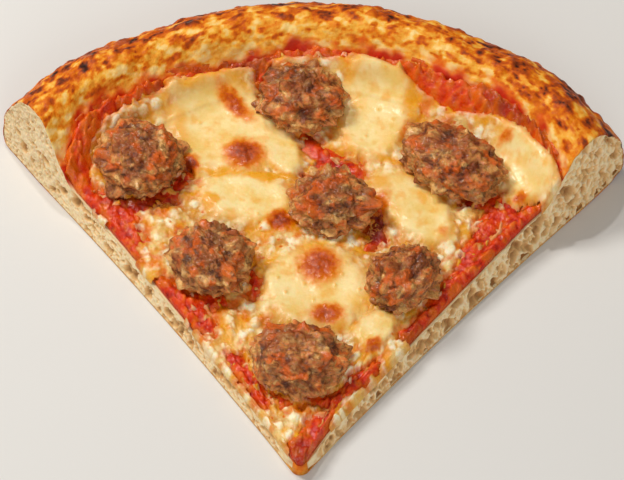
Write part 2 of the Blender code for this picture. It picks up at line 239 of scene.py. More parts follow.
@dataclass(frozen=True)
class SliceForm:
    """Plan and section of the slice, the same as the solids have."""

    cut_left: float = -36.9
    cut_right: float = 41.7
    lean: float = math.tan(math.radians(7.0))
    shoulder_left: float = 0.12
    shoulder_right: float = 0.3
    shoulder_height: float = 8.0
    shoulder_start: tuple[float, float] = (4.0, 16.0)
    shoulder_end: tuple[float, float] = (120.0, 96.0)
    bow: float = -1.2
    bow_length: float = 124.0
    middle_x: float = 3.2
    middle_y: float = 78.4
    crust_reach: float = 155.0
    crust_drop: float = 13.5
    drop_angle: float = 38.5
    crust_middle: float = 1.5
    crust_rise: float = 25.5
    crust_rise_slope: float = 0.02496
    crust_span: float = 31.0
    crust_span_gain: float = 5.0
    foot_share: float = 1.06
    foot_height: float = 0.36
    base_tip: float = 4.2
    steepest: float = 1.5
    sauce_share_mean: float = 0.73
    swells: tuple[Swell, ...] = (
        Swell(-36.9, 1.4, 2.6),
        Swell(-28.0, 0.8, 4.0),
        Swell(-17.0, -1.1, 6.5),
        Swell(19.5, -1.1, 4.5),
        Swell(38.5, -1.2, 4.0),
        Swell(42.5, -1.0, 2.2),
    )
    sauce_swells: tuple[Swell, ...] = (
        Swell(-36.9, 0.13, 2.5),
        Swell(-10.0, 0.06, 5.0),
        Swell(28.0, -0.05, 9.0),
    )
    crown: tuple[tuple[float, float], ...] = (
        (0.0, 0.22),
        (0.02, 0.38),
        (0.07, 0.57),
        (0.16, 0.77),
        (0.28, 0.93),
        (0.42, 1.0),
        (0.56, 0.97),
        (0.68, 0.83),
        (0.80, 0.62),
        (0.92, 0.44),
        (1.06, 0.36),
    )
    skirt: tuple[tuple[float, float], ...] = ((0.0, 0.22), (0.012, 0.11), (0.06, 0.03), (0.17, 0.0))

    @staticmethod
    def plan(radius: Array, angle: Array) -> tuple[Array, Array]:
        """Plan places of flat polar points.

        Args:
            radius: Distances from the apex.
            angle: Angles in degrees.

        Returns:
            Places across and along the slice.
        """
        turn = np.radians(angle)
        return radius * np.sin(turn), radius * np.cos(turn)

    def rim(self, radius: Array, angle: Array) -> Array:
        """Distance in from the nearer cut."""
        return radius * np.radians(np.minimum(angle - self.cut_left, self.cut_right - angle))

    @staticmethod
    def smooth_curve(points: tuple[tuple[float, float], ...], steps: int = 16) -> Array:
        """Smooth curve through named section points.

        Args:
            points: Pairs of share of the crust width and share of the crust height.
            steps: Number of steps between two points.

        Returns:
            Rows of width share and height share along the curve.
        """
        p = np.array(points, float)
        p = np.vstack([2.0 * p[0] - p[1], p, 2.0 * p[-1] - p[-2]])
        curve = []
        for i in range(1, len(p) - 2):
            a, b, c, d = p[i - 1:i + 3]
            for t in np.linspace(0.0, 1.0, steps, endpoint=False):
                cubic = (3.0 * b - a - 3.0 * c + d) * t ** 3
                square = (2.0 * a - 5.0 * b + 4.0 * c - d) * t ** 2
                curve.append(0.5 * (2.0 * b + (c - a) * t + square + cubic))
        curve.append(p[-2])
        return np.array(curve)

    def crust_radius(self, angle: Array) -> Array:
        """Distance of the outer edge of the crust from the apex."""
        fall = ((angle - self.crust_middle) / self.drop_angle) ** 2
        return self.crust_reach - self.crust_drop * fall + swelling(angle, self.swells)

    def crust_height(self, angle: Array) -> Array:
        """Height of the crown of the crust."""
        return self.crust_rise - self.crust_rise_slope * angle

    def crust_width(self, angle: Array) -> Array:
        """Width of the crust from its outer edge to the base that carries the toppings."""
        return self.crust_span + self.crust_span_gain * (angle / self.drop_angle) ** 2

    def sauce_share(self, angle: Array) -> Array:
        """Share of the crust width, in from the outer edge, at which the sauce ends."""
        return self.sauce_share_mean + swelling(angle, self.sauce_swells)

    def sauce_reach(self, angle: Array) -> Array:
        """Distance of the edge of the sauce from the apex."""
        return self.crust_radius(angle) - self.sauce_share(angle) * self.crust_width(angle)

    def dough_top(self, radius: Array, angle: Array) -> Array:
        """Height of the dough under the toppings and up the inner slope of the crust.

        Args:
            radius: Distances from the apex.
            angle: Angles in degrees.

        Returns:
            Height of the dough at each point.
        """
        outer = self.crust_radius(angle)
        width = self.crust_width(angle)
        height = self.crust_height(angle)
        foot = outer - self.foot_share * width
        curve = self.smooth_curve(self.crown)
        slope = height * np.interp((outer - radius) / width, curve[:, 0], curve[:, 1])
        share = np.clip(radius / foot, 0.0, 1.0)
        base = self.base_tip + (self.foot_height * height - self.base_tip) * share ** 1.6
        return np.where(radius > foot, slope, base)

    def eased_top(self, radius: Array, angle: Array, reach: float = 6.0) -> Array:
        """Height of the dough with the crease at the foot of the crust filled in.

        Args:
            radius: Distances from the apex.
            angle: Angles in degrees.
            reach: Distance to either side over which the height is evened out.

        Returns:
            Height at each point, never below the dough.
        """
        steps = (-1.0, -0.6, -0.25, 0.25, 0.6, 1.0)
        mean = np.mean([self.dough_top(np.maximum(radius + k * reach, 0.0), angle) for k in steps], axis=0)
        return np.maximum(mean, self.dough_top(radius, angle))

    def steepness(self, radius: Array, angle: Array) -> Array:
        """Rise of a layer for each unit of its thickness, more where the base climbs to the crust.

        Args:
            radius: Distances from the apex.
            angle: Angles in degrees.

        Returns:
            Rise at each point, 1 on level dough.
        """
        step = 0.3
        climb = self.dough_top(radius + step, angle) - self.dough_top(radius - step, angle)
        return np.sqrt(1.0 + np.minimum(np.abs(climb / (2.0 * step)), self.steepest) ** 2)

    def tip_radius(self, angle: Array, rounding: float) -> Array:
        """Distance from the apex to a rounded tip that touches both cut lines.

        Args:
            angle: Angles in degrees.
            rounding: Radius of the rounded tip.

        Returns:
            Distance to the near side of the rounding at each angle.
        """
        half = math.radians(0.5 * (self.cut_right - self.cut_left))
        off = np.radians(angle - 0.5 * (self.cut_left + self.cut_right))
        centre = rounding / math.sin(half)
        inside = np.maximum(rounding ** 2 - (centre * np.sin(off)) ** 2, 0.0)
        return centre * np.cos(off) - np.sqrt(inside)

    def place(self, radius: Array, angle: Array, height: Array) -> Array:
        """Points of the finished slice, in metres, for flat polar points.

        Args:
            radius: Distances from the apex in millimetres.
            angle: Angles in degrees.
            height: Heights in millimetres.

        Returns:
            The points, with the three coordinates along the last axis.
        """
        radius, angle, height = np.broadcast_arrays(radius, angle, height)
        share = (angle - self.cut_left) / (self.cut_right - self.cut_left)
        left = np.clip(1.0 - 4.0 * share, 0.0, 1.0)
        right = np.clip(4.0 * share - 3.0, 0.0, 1.0)
        out = self.bow * np.sin(np.pi * np.clip(radius / self.bow_length, 0.0, 1.0)) - self.lean * height
        shoulder = np.minimum(height, self.shoulder_height)
        shoulder = shoulder * ease(*self.shoulder_end, radius) * ease(*self.shoulder_start, radius)
        right = right * (out - self.shoulder_right * shoulder)
        left = left * (out - self.shoulder_left * shoulder)
        turn = np.radians(angle)
        low, high = math.radians(self.cut_left), math.radians(self.cut_right)
        x = radius * np.sin(turn) + right * math.cos(high) - left * math.cos(low)
        y = radius * np.cos(turn) + left * math.sin(low) - right * math.sin(high)
        return np.stack([x - self.middle_x, y - self.middle_y, height], axis=-1) * MM


@dataclass(frozen=True)
class Blob:
    """Round or oval spot on the plan."""

    x: float
    y: float
    along: float
    across: float
    turn: float = 0.0
    strength: float = 1.0

    def measure(self, x: Array, y: Array) -> Array:
        """Distance from the middle as a share of the half sizes.

        Args:
            x: Places across the slice.
            y: Places along the slice.

        Returns:
            One share for each point, 1 on the outline of the spot.
        """
        turn = math.radians(self.turn)
        dx, dy = x - self.x, y - self.y
        along = dx * math.cos(turn) + dy * math.sin(turn)
        across = dy * math.cos(turn) - dx * math.sin(turn)
        return np.hypot(along / self.along, across / self.across)


def blob_field(x: Array, y: Array, blobs: tuple[Blob, ...], soft: float) -> Array:
    """Strongest cover of the blobs, fading over a soft share of their size.

    Args:
        x: Places across the slice.
        y: Places along the slice.
        blobs: Spots with their strengths.
        soft: Share of the half size over which a spot fades, inward and outward.

    Returns:
        Cover of each point.
    """
    total = np.zeros_like(x)
    for blob in blobs:
        total = np.maximum(total, blob.strength * ease(1.0 + soft, 1.0 - soft, blob.measure(x, y)))
    return total


Chain = tuple[tuple[float, float, float], ...]


def chain_distance(x: Array, y: Array, chains: tuple[Chain, ...]) -> Array:
    """Distance outside the nearest chain of discs, negative within it.

    Args:
        x: Plan coordinates across.
        y: Plan coordinates along.
        chains: Chains of discs, each disc as its middle and its radius.

    Returns:
        The distance for each plan point.
    """
    best = np.full_like(x, 99.0)
    for chain in chains:
        for (ax, ay, ar), (bx, by, br) in zip(chain, chain[1:]):
            dx, dy = bx - ax, by - ay
            share = np.clip(((x - ax) * dx + (y - ay) * dy) / (dx * dx + dy * dy), 0.0, 1.0)
            away = np.hypot(x - ax - share * dx, y - ay - share * dy) - (ar + share * (br - ar))
            best = np.minimum(best, away)
    return best


@dataclass(frozen=True)
class ToppingMap:
    """Where the open sauce, the smooth pools, the browned spots and the oil lie."""

    form: SliceForm = SliceForm()
    sauce_border: float = 0.9
    seam_place: float = 0.98
    seam_width: float = 0.16
    pool_fade: float = 0.26
    open_sauce: tuple[Chain, ...] = (
        ((-63.5, 84.0, 4.6), (-64.5, 93.0, 4.4), (-62.5, 100.5, 3.2), (-58.0, 107.5, 2.2)),
        ((-58.0, 107.5, 2.2), (-51.3, 112.5, 1.7), (-44.2, 116.6, 1.5), (-39.5, 118.8, 1.0)),
        ((-60.0, 82.0, 3.5), (-52.0, 80.5, 3.6), (-44.0, 81.5, 3.0), (-37.0, 86.0, 2.4), (-32.0, 93.0, 1.8)),
        ((-51.0, 79.0, 4.5), (-50.0, 73.5, 4.2), (-47.5, 69.5, 3.2)),
        ((-34.0, 122.4, 0.9), (-27.3, 125.3, 1.2), (-21.3, 127.6, 1.5), (-15.5, 129.2, 1.9)),
        ((-15.5, 129.2, 1.9), (-10.6, 129.0, 2.2)),
        ((-10.6, 129.0, 2.2), (-11.2, 124.5, 1.6), (-11.0, 121.0, 1.0)),
        ((-9.0, 131.0, 1.6), (-3.0, 131.9, 1.6), (3.0, 131.6, 1.2), (9.0, 130.6, 0.8), (12.5, 130.2, 0.5)),
        ((17.0, 131.0, 0.7), (24.0, 129.2, 1.2), (30.0, 126.8, 1.9), (36.6, 121.8, 3.0), (43.0, 117.2, 3.4)),
        ((43.0, 117.2, 3.4), (50.4, 113.2, 2.3), (58.0, 108.9, 1.5), (64.8, 102.2, 1.4), (70.8, 93.8, 1.5)),
        ((70.8, 93.8, 1.5), (74.2, 87.2, 1.4)),
        ((1.0, 108.0, 1.6), (4.0, 103.5, 2.4), (8.0, 99.5, 3.0), (13.0, 97.0, 2.8), (16.5, 94.5, 1.6)),
        ((2.3, 95.2, 1.4), (6.0, 98.0, 2.0)),
        ((48.5, 83.0, 2.6), (53.5, 82.0, 3.6), (58.5, 78.5, 3.6), (61.5, 75.0, 2.6)),
        ((55.0, 76.0, 3.6), (52.0, 70.0, 3.4), (49.5, 64.0, 3.4), (47.3, 57.5, 3.0), (43.8, 53.5, 3.0)),
        ((43.8, 53.5, 3.0), (41.0, 49.0, 2.8), (38.0, 44.6, 2.8), (34.5, 40.3, 3.0), (30.6, 38.5, 2.4)),
        ((-39.0, 55.0, 2.2), (-34.5, 50.5, 3.8), (-30.0, 46.0, 4.0), (-26.0, 42.5, 2.4)),
        ((-30.0, 50.0, 3.0), (-22.0, 51.5, 2.2)),
        ((-18.5, 32.5, 2.4), (-15.5, 28.5, 3.0), (-12.3, 23.0, 2.8), (-10.5, 19.5, 1.8)),
        ((22.0, 28.5, 2.2), (16.5, 25.5, 3.0), (12.2, 21.5, 2.8), (9.0, 18.5, 2.6), (6.5, 13.5, 3.0)),
        ((65.5, 76.5, 3.2), (60.5, 69.5, 3.6), (55.5, 63.0, 3.6), (50.5, 57.5, 3.8), (46.0, 52.5, 3.4)),
        ((46.0, 52.5, 3.4), (41.0, 47.0, 3.2), (36.5, 41.5, 3.0), (33.0, 38.0, 2.0)),
        ((-53.0, 72.5, 3.0), (-50.5, 68.0, 2.4), (-47.5, 64.5, 1.4)),
        ((6.5, 13.5, 3.2), (3.0, 9.0, 3.6), (0.7, 5.5, 4.0), (0.2, 3.0, 3.6)),
        ((-8.0, 20.5, 1.4), (2.0, 20.0, 1.0), (10.0, 21.0, 1.8)),
        ((19.4, 82.0, 2.0), (20.8, 77.0, 2.8), (21.0, 71.5, 2.6), (18.5, 69.4, 1.6)),
        ((-13.0, 61.5, 1.0), (-12.2, 57.0, 1.5), (-12.6, 53.5, 0.9)),
    )
    pools: tuple[Blob, ...] = (
        Blob(-21.5, 109.0, 17.0, 15.5),
        Blob(-5.0, 101.5, 5.0, 8.5, 20.0),
        Blob(21.0, 115.0, 10.5, 15.5, -6.0),
        Blob(63.5, 92.0, 13.5, 7.0, 120.0),
        Blob(31.5, 81.5, 16.5, 7.8, -50.0),
        Blob(-15.0, 85.5, 12.8, 8.6),
        Blob(4.0, 55.5, 14.5, 14.0),
        Blob(20.8, 41.0, 6.5, 6.0),
    )
    browned: tuple[Blob, ...] = (
        Blob(-15.7, 100.0, 5.2, 4.4, 0.0, 0.9),
        Blob(-18.8, 117.0, 6.5, 2.6, -48.0, 0.75),
        Blob(5.2, 62.5, 5.4, 5.4, 0.0, 0.8),
        Blob(7.2, 46.6, 4.6, 3.0, 0.0, 0.75),
        Blob(-31.1, 96.0, 2.8, 2.8, 0.0, 1.0),
        Blob(-5.2, 77.3, 3.6, 3.0, 0.0, 0.95),
        Blob(21.5, 82.0, 6.0, 2.4, 70.0, 0.6),
        Blob(57.7, 101.2, 2.2, 1.9, 0.0, 0.5),
        Blob(62.5, 81.5, 2.2, 1.8, 0.0, 0.7),
        Blob(20.6, 35.7, 2.8, 2.4, 0.0, 0.7),
        Blob(0.5, 17.9, 2.6, 1.8, 0.0, 0.6),
        Blob(-39.1, 79.6, 2.8, 2.0, 30.0, 0.55),
        Blob(-34.5, 73.0, 1.6, 2.4, 0.0, 0.6),
        Blob(-46.1, 61.5, 1.8, 1.5, 0.0, 0.6),
        Blob(-41.5, 60.5, 2.2, 2.0, 0.0, 0.45),
        Blob(-9.0, 45.0, 2.4, 2.0, 0.0, 0.45),
        Blob(30.0, 108.0, 2.0, 4.0, -20.0, 0.45),
        Blob(40.0, 72.0, 2.0, 1.6, 0.0, 0.4),
    )
    oily: tuple[Blob, ...] = (
        Blob(-24.6, 83.8, 2.6, 2.2, 50.0, 1.0),
        Blob(-8.6, 92.4, 6.5, 1.5, 2.0, 0.9),
        Blob(-22.0, 93.8, 7.0, 1.3, -4.0, 0.8),
        Blob(-19.0, 79.0, 2.2, 1.6, 0.0, 0.5),
        Blob(-12.2, 84.4, 1.4, 1.1, 0.0, 0.4),
        Blob(-9.5, 63.5, 4.0, 1.3, 40.0, 0.7),
        Blob(-33.5, 108.0, 2.6, 6.5, 12.0, 0.5),
        Blob(31.5, 116.0, 2.0, 7.5, 4.0, 0.7),
        Blob(21.5, 90.0, 3.2, 2.2, 30.0, 0.6),
        Blob(25.5, 98.5, 5.0, 1.5, -10.0, 0.6),
        Blob(51.0, 78.5, 3.5, 2.0, -30.0, 0.4),
        Blob(12.5, 33.5, 2.0, 3.0, 0.0, 0.35),
        Blob(-21.0, 40.0, 1.8, 5.0, 20.0, 0.6),
        Blob(28.0, 45.5, 1.6, 3.4, 30.0, 0.4),
    )
    dark_sauce: tuple[Blob, ...] = (
        Blob(20.8, 76.0, 3.4, 6.0, 0.0, 1.0),
        Blob(-46.0, 82.5, 9.0, 3.2, 0.0, 0.7),
        Blob(-37.0, 119.0, 5.0, 2.4, 30.0, 0.6),
        Blob(-16.0, 128.5, 8.0, 2.2, 10.0, 0.6),
        Blob(60.0, 107.0, 12.0, 2.4, -42.0, 0.6),
        Blob(48.5, 82.0, 5.0, 3.0, 0.0, 0.7),
        Blob(0.5, 5.0, 3.0, 4.0, 0.0, 0.6),
        Blob(32.0, 38.0, 4.0, 2.4, 40.0, 0.5),
        Blob(3.0, 108.0, 2.4, 2.0, 0.0, 0.6),
    )

    def warp(self, x: Array, y: Array, noise: Scatter, reach: float, size: float) -> tuple[Array, Array]:
        """Plan points shifted unevenly, so that outlines drawn from them wander.

        Args:
            x: Places across the slice.
            y: Places along the slice.
            noise: Field that shifts them.
            reach: Farthest usual shift.
            size: Size of the waves.

        Returns:
            The shifted places across and along the slice.
        """
        flat = np.stack([x / size, y / size, np.zeros_like(x)], axis=-1)
        return x + reach * noise.rough(flat, 2), y + reach * noise.rough(flat, 2, shift=31.7)

    def cheese_reach(self, x: Array, y: Array) -> Array:
        """Distance into the cheese from the nearest open sauce or from the edge of the sauce.

        Args:
            x: Places across the slice.
            y: Places along the slice.

        Returns:
            Distance at each point, negative in the open sauce.
        """
        radius = np.hypot(x, y)
        angle = np.degrees(np.arctan2(x, y))
        edge = self.form.sauce_reach(angle) - self.sauce_border - radius
        return np.minimum(chain_distance(x, y, self.open_sauce), edge)

    def pool_share(self, x: Array, y: Array) -> Array:
        """One in the smooth pools, falling to zero in the shreds between them."""
        return blob_field(x, y, self.pools, self.pool_fade)

    def pool_seam(self, x: Array, y: Array) -> Array:
        """One along the edges of the smooth pools."""
        nearest = np.min([blob.measure(x, y) for blob in self.pools], axis=0)
        return np.exp(-(((nearest - self.seam_place) / self.seam_width) ** 2))


@dataclass(frozen=True)
class Chunk:
    """Lump of cooked sausage."""

    name: str
    node: str
    spot: Blob
    height: float
    waist: float = 0.0


def set_channels(mesh: bpy.types.Mesh, channels: dict[str, Array]) -> None:
    """Store one number for each vertex under each name.

    Args:
        mesh: Mesh that takes the numbers.
        channels: Vertex numbers by name.
    """
    for name, values in channels.items():
        layer = mesh.attributes.new(name, "FLOAT", "POINT")
        layer.data.foreach_set("value", np.ascontiguousarray(values, np.float32).ravel())


def make_piece(
    name: str,
    points: Array,
    faces: Array,
    channels: dict[str, Array],
    material: bpy.types.Material,
    extra: list[tuple[int, ...]] | None = None,
) -> bpy.types.Object:
    """Smooth mesh object from arrays.

    Args:
        name: Name of the piece.
        points: Rows of vertex positions in metres.
        faces: Rows of vertex indices, all with the same number of corners.
        channels: Named vertex numbers that the material reads.
        material: Finish of the piece.
        extra: Further faces as tuples of vertex indices.

    Returns:
        The new object.
    """
    corners = [faces.ravel()]
    sizes = [np.full(len(faces), faces.shape[1])]
    for face in extra or []:
        corners.append(np.array(face))
        sizes.append(np.array([len(face)]))
    loops = np.concatenate(corners).astype(np.int32)
    totals = np.concatenate(sizes).astype(np.int32)
    mesh = bpy.data.meshes.new(name)
    mesh.vertices.add(len(points))
    mesh.vertices.foreach_set("co", np.ascontiguousarray(points, np.float32).ravel())
    mesh.loops.add(len(loops))
    mesh.loops.foreach_set("vertex_index", loops)
    mesh.polygons.add(len(totals))
    mesh.polygons.foreach_set("loop_start", np.concatenate([[0], np.cumsum(totals)[:-1]]).astype(np.int32))
    mesh.polygons.foreach_set("loop_total", totals)
    mesh.polygons.foreach_set("use_smooth", np.ones(len(totals), bool))
    mesh.update()
    mesh.validate()
    set_channels(mesh, channels)
    mesh.materials.append(material)
    piece = bpy.data.objects.new(name, mesh)
    bpy.context.scene.collection.objects.link(piece)
    return piece


def sweep_quads(columns: int, ring: int) -> Array:
    """Faces between neighbouring closed rings, outward for rings that run tip, top, crown, bottom.

    Args:
        columns: Number of rings.
        ring: Number of points in each ring.

    Returns:
        Rows of four vertex indices.
    """
    j, i = np.meshgrid(np.arange(columns - 1), np.arange(ring), indexing="ij")
    following = (i + 1) % ring
    quads = np.stack([j * ring + i, (j + 1) * ring + i, (j + 1) * ring + following, j * ring + following], -1)
    return quads.reshape(-1, 4)


def sheet_quads(rows: int, columns: int) -> Array:
    """Faces of an open grid whose points run row by row.

    Args:
        rows: Number of rows of points.
        columns: Number of points in each row.

    Returns:
        Rows of four vertex indices.
    """
    i, j = np.meshgrid(np.arange(rows - 1), np.arange(columns - 1), indexing="ij")
    a = i * columns + j
    return np.stack([a, a + 1, a + columns + 1, a + columns], -1).reshape(-1, 4)


def cap_strip(
    first: int,
    upper: list[int],
    lower: list[int],
    reach: Array,
    flip: bool,
) -> list[tuple[int, ...]]:
    """Triangles between the upper and the lower edge of an end ring.

    Args:
        first: Index of the ring's first vertex.
        upper: Ring positions along the upper edge, from the tip outward.
        lower: Ring positions along the lower edge, from the tip outward.
        reach: Distance from the apex of each ring position.
        flip: Whether the faces look the other way.

    Returns:
        The triangles as tuples of vertex indices.
    """
    top = np.maximum.accumulate(reach[upper])
    bottom = reach[lower]
    faces = []
    i = k = 0
    while i < len(upper) - 1 or k < len(lower) - 1:
        step_up = k == len(lower) - 1 or (i < len(upper) - 1 and top[i + 1] <= bottom[k + 1])
        if step_up:
            face = (upper[i], upper[i + 1], lower[k])
            i += 1
        else:
            face = (upper[i], lower[k + 1], lower[k])
            k += 1
        if len(set(face)) == 3:
            faces.append(tuple(first + v for v in (face[::-1] if flip else face)))
    return faces


class Graph:
    """Nodes of one material, added and linked with short calls."""

    def __init__(self, name: str) -> None:
        """Start a material with its shader and its output.

        Args:
            name: Name of the material.
        """
        self.material = bpy.data.materials.new(name)
        self.material.use_nodes = True
        self.nodes = self.material.node_tree.nodes
        self.links = self.material.node_tree.links
        self.shader = self.nodes["Principled BSDF"]
        self.place = self.add("ShaderNodeTexCoord").outputs["Object"]

    def add(self, kind: str, **settings: object) -> bpy.types.Node:
        """New node with its settings.

        Args:
            kind: Type name of the node.
            settings: Properties of the node by name.

        Returns:
            The node.
        """
        node = self.nodes.new(kind)
        for name, value in settings.items():
            setattr(node, name, value)
        return node

    def feed(self, socket: bpy.types.NodeSocket, value: object) -> None:
        """Link a socket to another, or set its value.

        Args:
            socket: Input that takes the value.
            value: Output of another node, or a constant.
        """
        if isinstance(value, bpy.types.NodeSocket):
            self.links.new(value, socket)
        else:
            socket.default_value = value

    def channel(self, name: str) -> bpy.types.NodeSocket:
        """Vertex number of the mesh."""
        return self.add("ShaderNodeAttribute", attribute_name=name).outputs["Fac"]

    def maths(self, kind: str, first: object, second: object, clamp: bool = False) -> bpy.types.NodeSocket:
        """Result of one sum on two numbers.

        Args:
            kind: Name of the operation.
            first: First number or socket.
            second: Second number or socket.
            clamp: Whether the result is kept between 0 and 1.

        Returns:
            Output with the result.
        """
        node = self.add("ShaderNodeMath", operation=kind, use_clamp=clamp)
        self.feed(node.inputs[0], first)
        self.feed(node.inputs[1], second)
        return node.outputs[0]

    def remap(
        self,
        value: object,
        low: float,
        high: float,
        to_low: float,
        to_high: float,
    ) -> bpy.types.NodeSocket:
        """Number moved smoothly from one range to another and kept inside it.

        Args:
            value: Number or socket.
            low: Value that becomes to_low.
            high: Value that becomes to_high.
            to_low: Start of the new range.
            to_high: End of the new range.

        Returns:
            Output with the result.
        """
        node = self.add("ShaderNodeMapRange", interpolation_type="SMOOTHSTEP")
        for index, number in enumerate((value, low, high, to_low, to_high)):
            self.feed(node.inputs[index], number)
        return node.outputs[0]

    def blend(self, factor: object, first: object, second: object) -> bpy.types.NodeSocket:
        """Mix of two colours.

        Args:
            factor: Share of the second colour.
            first: First colour or socket.
            second: Second colour or socket.

        Returns:
            Output with the mixed colour.
        """
        node = self.add("ShaderNodeMix", data_type="RGBA", blend_type="MIX")
        self.feed(node.inputs["Factor"], factor)
        self.feed(node.inputs[6], first)
        self.feed(node.inputs[7], second)
        return node.outputs[2]

    def grain(self, size: float, detail: float = 3.0, rough: float = 0.55) -> bpy.types.NodeSocket:
        """Noise with features of about a size in millimetres.

        Args:
            size: Size of the broadest features.
            detail: Number of finer layers.
            rough: Strength of each layer against the one before.

        Returns:
            Output with the noise, around 0.5.
        """
        node = self.add("ShaderNodeTexNoise")
        self.links.new(self.place, node.inputs["Vector"])
        node.inputs["Scale"].default_value = 1000.0 / size
        node.inputs["Detail"].default_value = detail
        node.inputs["Roughness"].default_value = rough
        return node.outputs[0]

    def uneven(
        self,
        fine: tuple[float, float, float],
        broad: tuple[float, float, float],
        weight: float,
    ) -> bpy.types.NodeSocket:
        """Sum of a fine and a broad noise.

        Args:
            fine: Size, detail and roughness of the fine noise.
            broad: Size, detail and roughness of the broad noise.
            weight: Strength of the broad noise against the fine one.

        Returns:
            Output with the sum.
        """
        return self.maths("ADD", self.grain(*fine), self.maths("MULTIPLY", self.grain(*broad), weight))

    def mottled(
        self,
        name: str,
        size: float,
        detail: float,
        rough: float,
        strength: float,
    ) -> bpy.types.NodeSocket:
        """Channel of the mesh with fine noise added, kept between 0 and 1.

        Args:
            name: Name of the channel.
            size: Size of the noise in millimetres.
            detail: Number of finer layers.
            rough: Strength of each layer against the one before.
            strength: Strength of the noise.

        Returns:
            Output with the result.
        """
        noise = self.maths("SUBTRACT", self.grain(size, detail, rough), 0.5)
        return self.maths("ADD", self.channel(name), self.maths("MULTIPLY", noise, strength), clamp=True)

    def pits(self, size: float) -> bpy.types.NodeSocket:
        """Distance to scattered spots a size apart, in millimetres.

        Args:
            size: Distance between neighbouring spots.

        Returns:
            Output with the distance as a share of the size.
        """
        node = self.add("ShaderNodeTexVoronoi")
        self.links.new(self.place, node.inputs["Vector"])
        node.inputs["Scale"].default_value = 1000.0 / size
        return node.outputs["Distance"]

    def ramp(self, factor: object, stops: Stops) -> bpy.types.NodeSocket:
        """Colour along a row of stops.

        Args:
            factor: Place along the row, from 0 to 1.
            stops: Pairs of place and colour.

        Returns:
            Output with the colour.
        """
        node = self.add("ShaderNodeValToRGB")
        scale = node.color_ramp
        while len(scale.elements) < len(stops):
            scale.elements.new(0.5)
        for element, (position, colour) in zip(scale.elements, stops):
            element.position = position
            element.color = colour
        self.feed(node.inputs[0], factor)
        return node.outputs[0]

    def bump(self, height: object, strength: float, distance: float) -> None:
        """Fine relief on the shader's normal.

        Args:
            height: Socket with the height.
            strength: Share of the relief that is used.
            distance: Depth in millimetres.
        """
        node = self.add("ShaderNodeBump")
        node.inputs["Strength"].default_value = strength
        node.inputs["Distance"].default_value = distance * MM
        self.feed(node.inputs["Height"], height)
        self.links.new(node.outputs[0], self.shader.inputs["Normal"])

    def finish(self, colour: object, roughness: object, **constants: float) -> bpy.types.Material:
        """Wire colour and roughness, set the constants and hand over the material.

        Args:
            colour: Base colour socket or value.
            roughness: Roughness socket or value.
            constants: Shader inputs by name, with underscores for spaces.

        Returns:
            The finished material.
        """
        self.feed(self.shader.inputs["Base Color"], colour)
        self.feed(self.shader.inputs["Roughness"], roughness)
        for name, value in constants.items():
            self.shader.inputs[name.replace("_", " ")].default_value = value
        return self.material


@dataclass(frozen=True)
class CrustFinish:
    """Baked crust, from pale gold to dark blisters, blushed by sauce near its foot."""

    cream: Colour = srgb(252, 214, 136)
    gold: Colour = srgb(246, 178, 62)
    amber: Colour = srgb(226, 122, 8)
    orange: Colour = srgb(196, 82, 4)
    brown: Colour = srgb(140, 56, 12)
    dark: Colour = srgb(76, 32, 16)
    char: Colour = srgb(38, 18, 12)
    blush: Colour = srgb(226, 92, 22)
    stain: Colour = srgb(196, 32, 12)
    crumb: Colour = srgb(232, 206, 158)

    def build(self) -> bpy.types.Material:
        """Material that reads the bake, blush and inner channels.

        Returns:
            The material.
        """
        g = Graph("baked_crust")
        bake = g.mottled("bake", 1.1, 3.0, 0.6, 0.34)
        stops = (
            (0.0, self.cream),
            (0.22, self.gold),
            (0.42, self.amber),
            (0.58, self.orange),
            (0.76, self.brown),
            (0.9, self.dark),
            (1.0, self.char),
        )
        base = g.ramp(bake, stops)
        blush = g.channel("blush")
        tinted = g.blend(g.remap(blush, 0.0, 0.7, 0.0, 0.75), base, self.blush)
        stained = g.blend(g.remap(blush, 0.6, 1.0, 0.0, 0.9), tinted, self.stain)
        inner = g.blend(g.channel("inner"), stained, self.crumb)
        rough = g.remap(g.grain(2.0, 3.0), 0.36, 0.64, 0.36, 0.75)
        g.bump(g.uneven((0.7, 4.0, 0.6), (2.4, 3.0, 0.55), 1.4), 0.55, 0.35)
        return g.finish(
            inner,
            rough,
            Subsurface_Weight=0.12,
            Subsurface_Scale=0.0012,
            Specular_IOR_Level=0.16,
        )


@dataclass(frozen=True)
class CrumbFinish:
    """Pale crumb of the cut, with painted shade in its pores, and browned at the skin."""

    pale: Colour = srgb(255, 232, 188)
    cream: Colour = srgb(240, 198, 138)
    # hollow and deep are painted shade colours for the insides of the pores.
    hollow: Colour = srgb(210, 164, 106)
    deep: Colour = srgb(160, 112, 66)
    skin: Colour = srgb(208, 134, 58)
    dark_skin: Colour = srgb(112, 60, 26)

    def build(self) -> bpy.types.Material:
        """Material that reads the pore and skin channels.

        Returns:
            The material.
        """
        g = Graph("crumb")
        # Painted shade: the pore channel darkens the crumb towards the hollow and deep colours inside the
        # pores.
        pore = g.mottled("pore", 0.9, 3.0, 0.55, 0.3)
        base = g.ramp(pore, ((0.0, self.pale), (0.3, self.cream), (0.65, self.hollow), (1.0, self.deep)))
        skin = g.channel("skin")
        edge = g.blend(g.remap(skin, 0.25, 0.75, 0.0, 0.85), base, self.skin)
        rim = g.blend(g.remap(skin, 0.75, 1.0, 0.0, 0.8), edge, self.dark_skin)
        g.bump(g.maths("ADD", g.grain(0.6, 4.0, 0.65), g.pits(1.3)), 0.4, 0.3)
        return g.finish(rim, 0.78, Subsurface_Weight=0.12, Subsurface_Scale=0.001, Specular_IOR_Level=0.2)


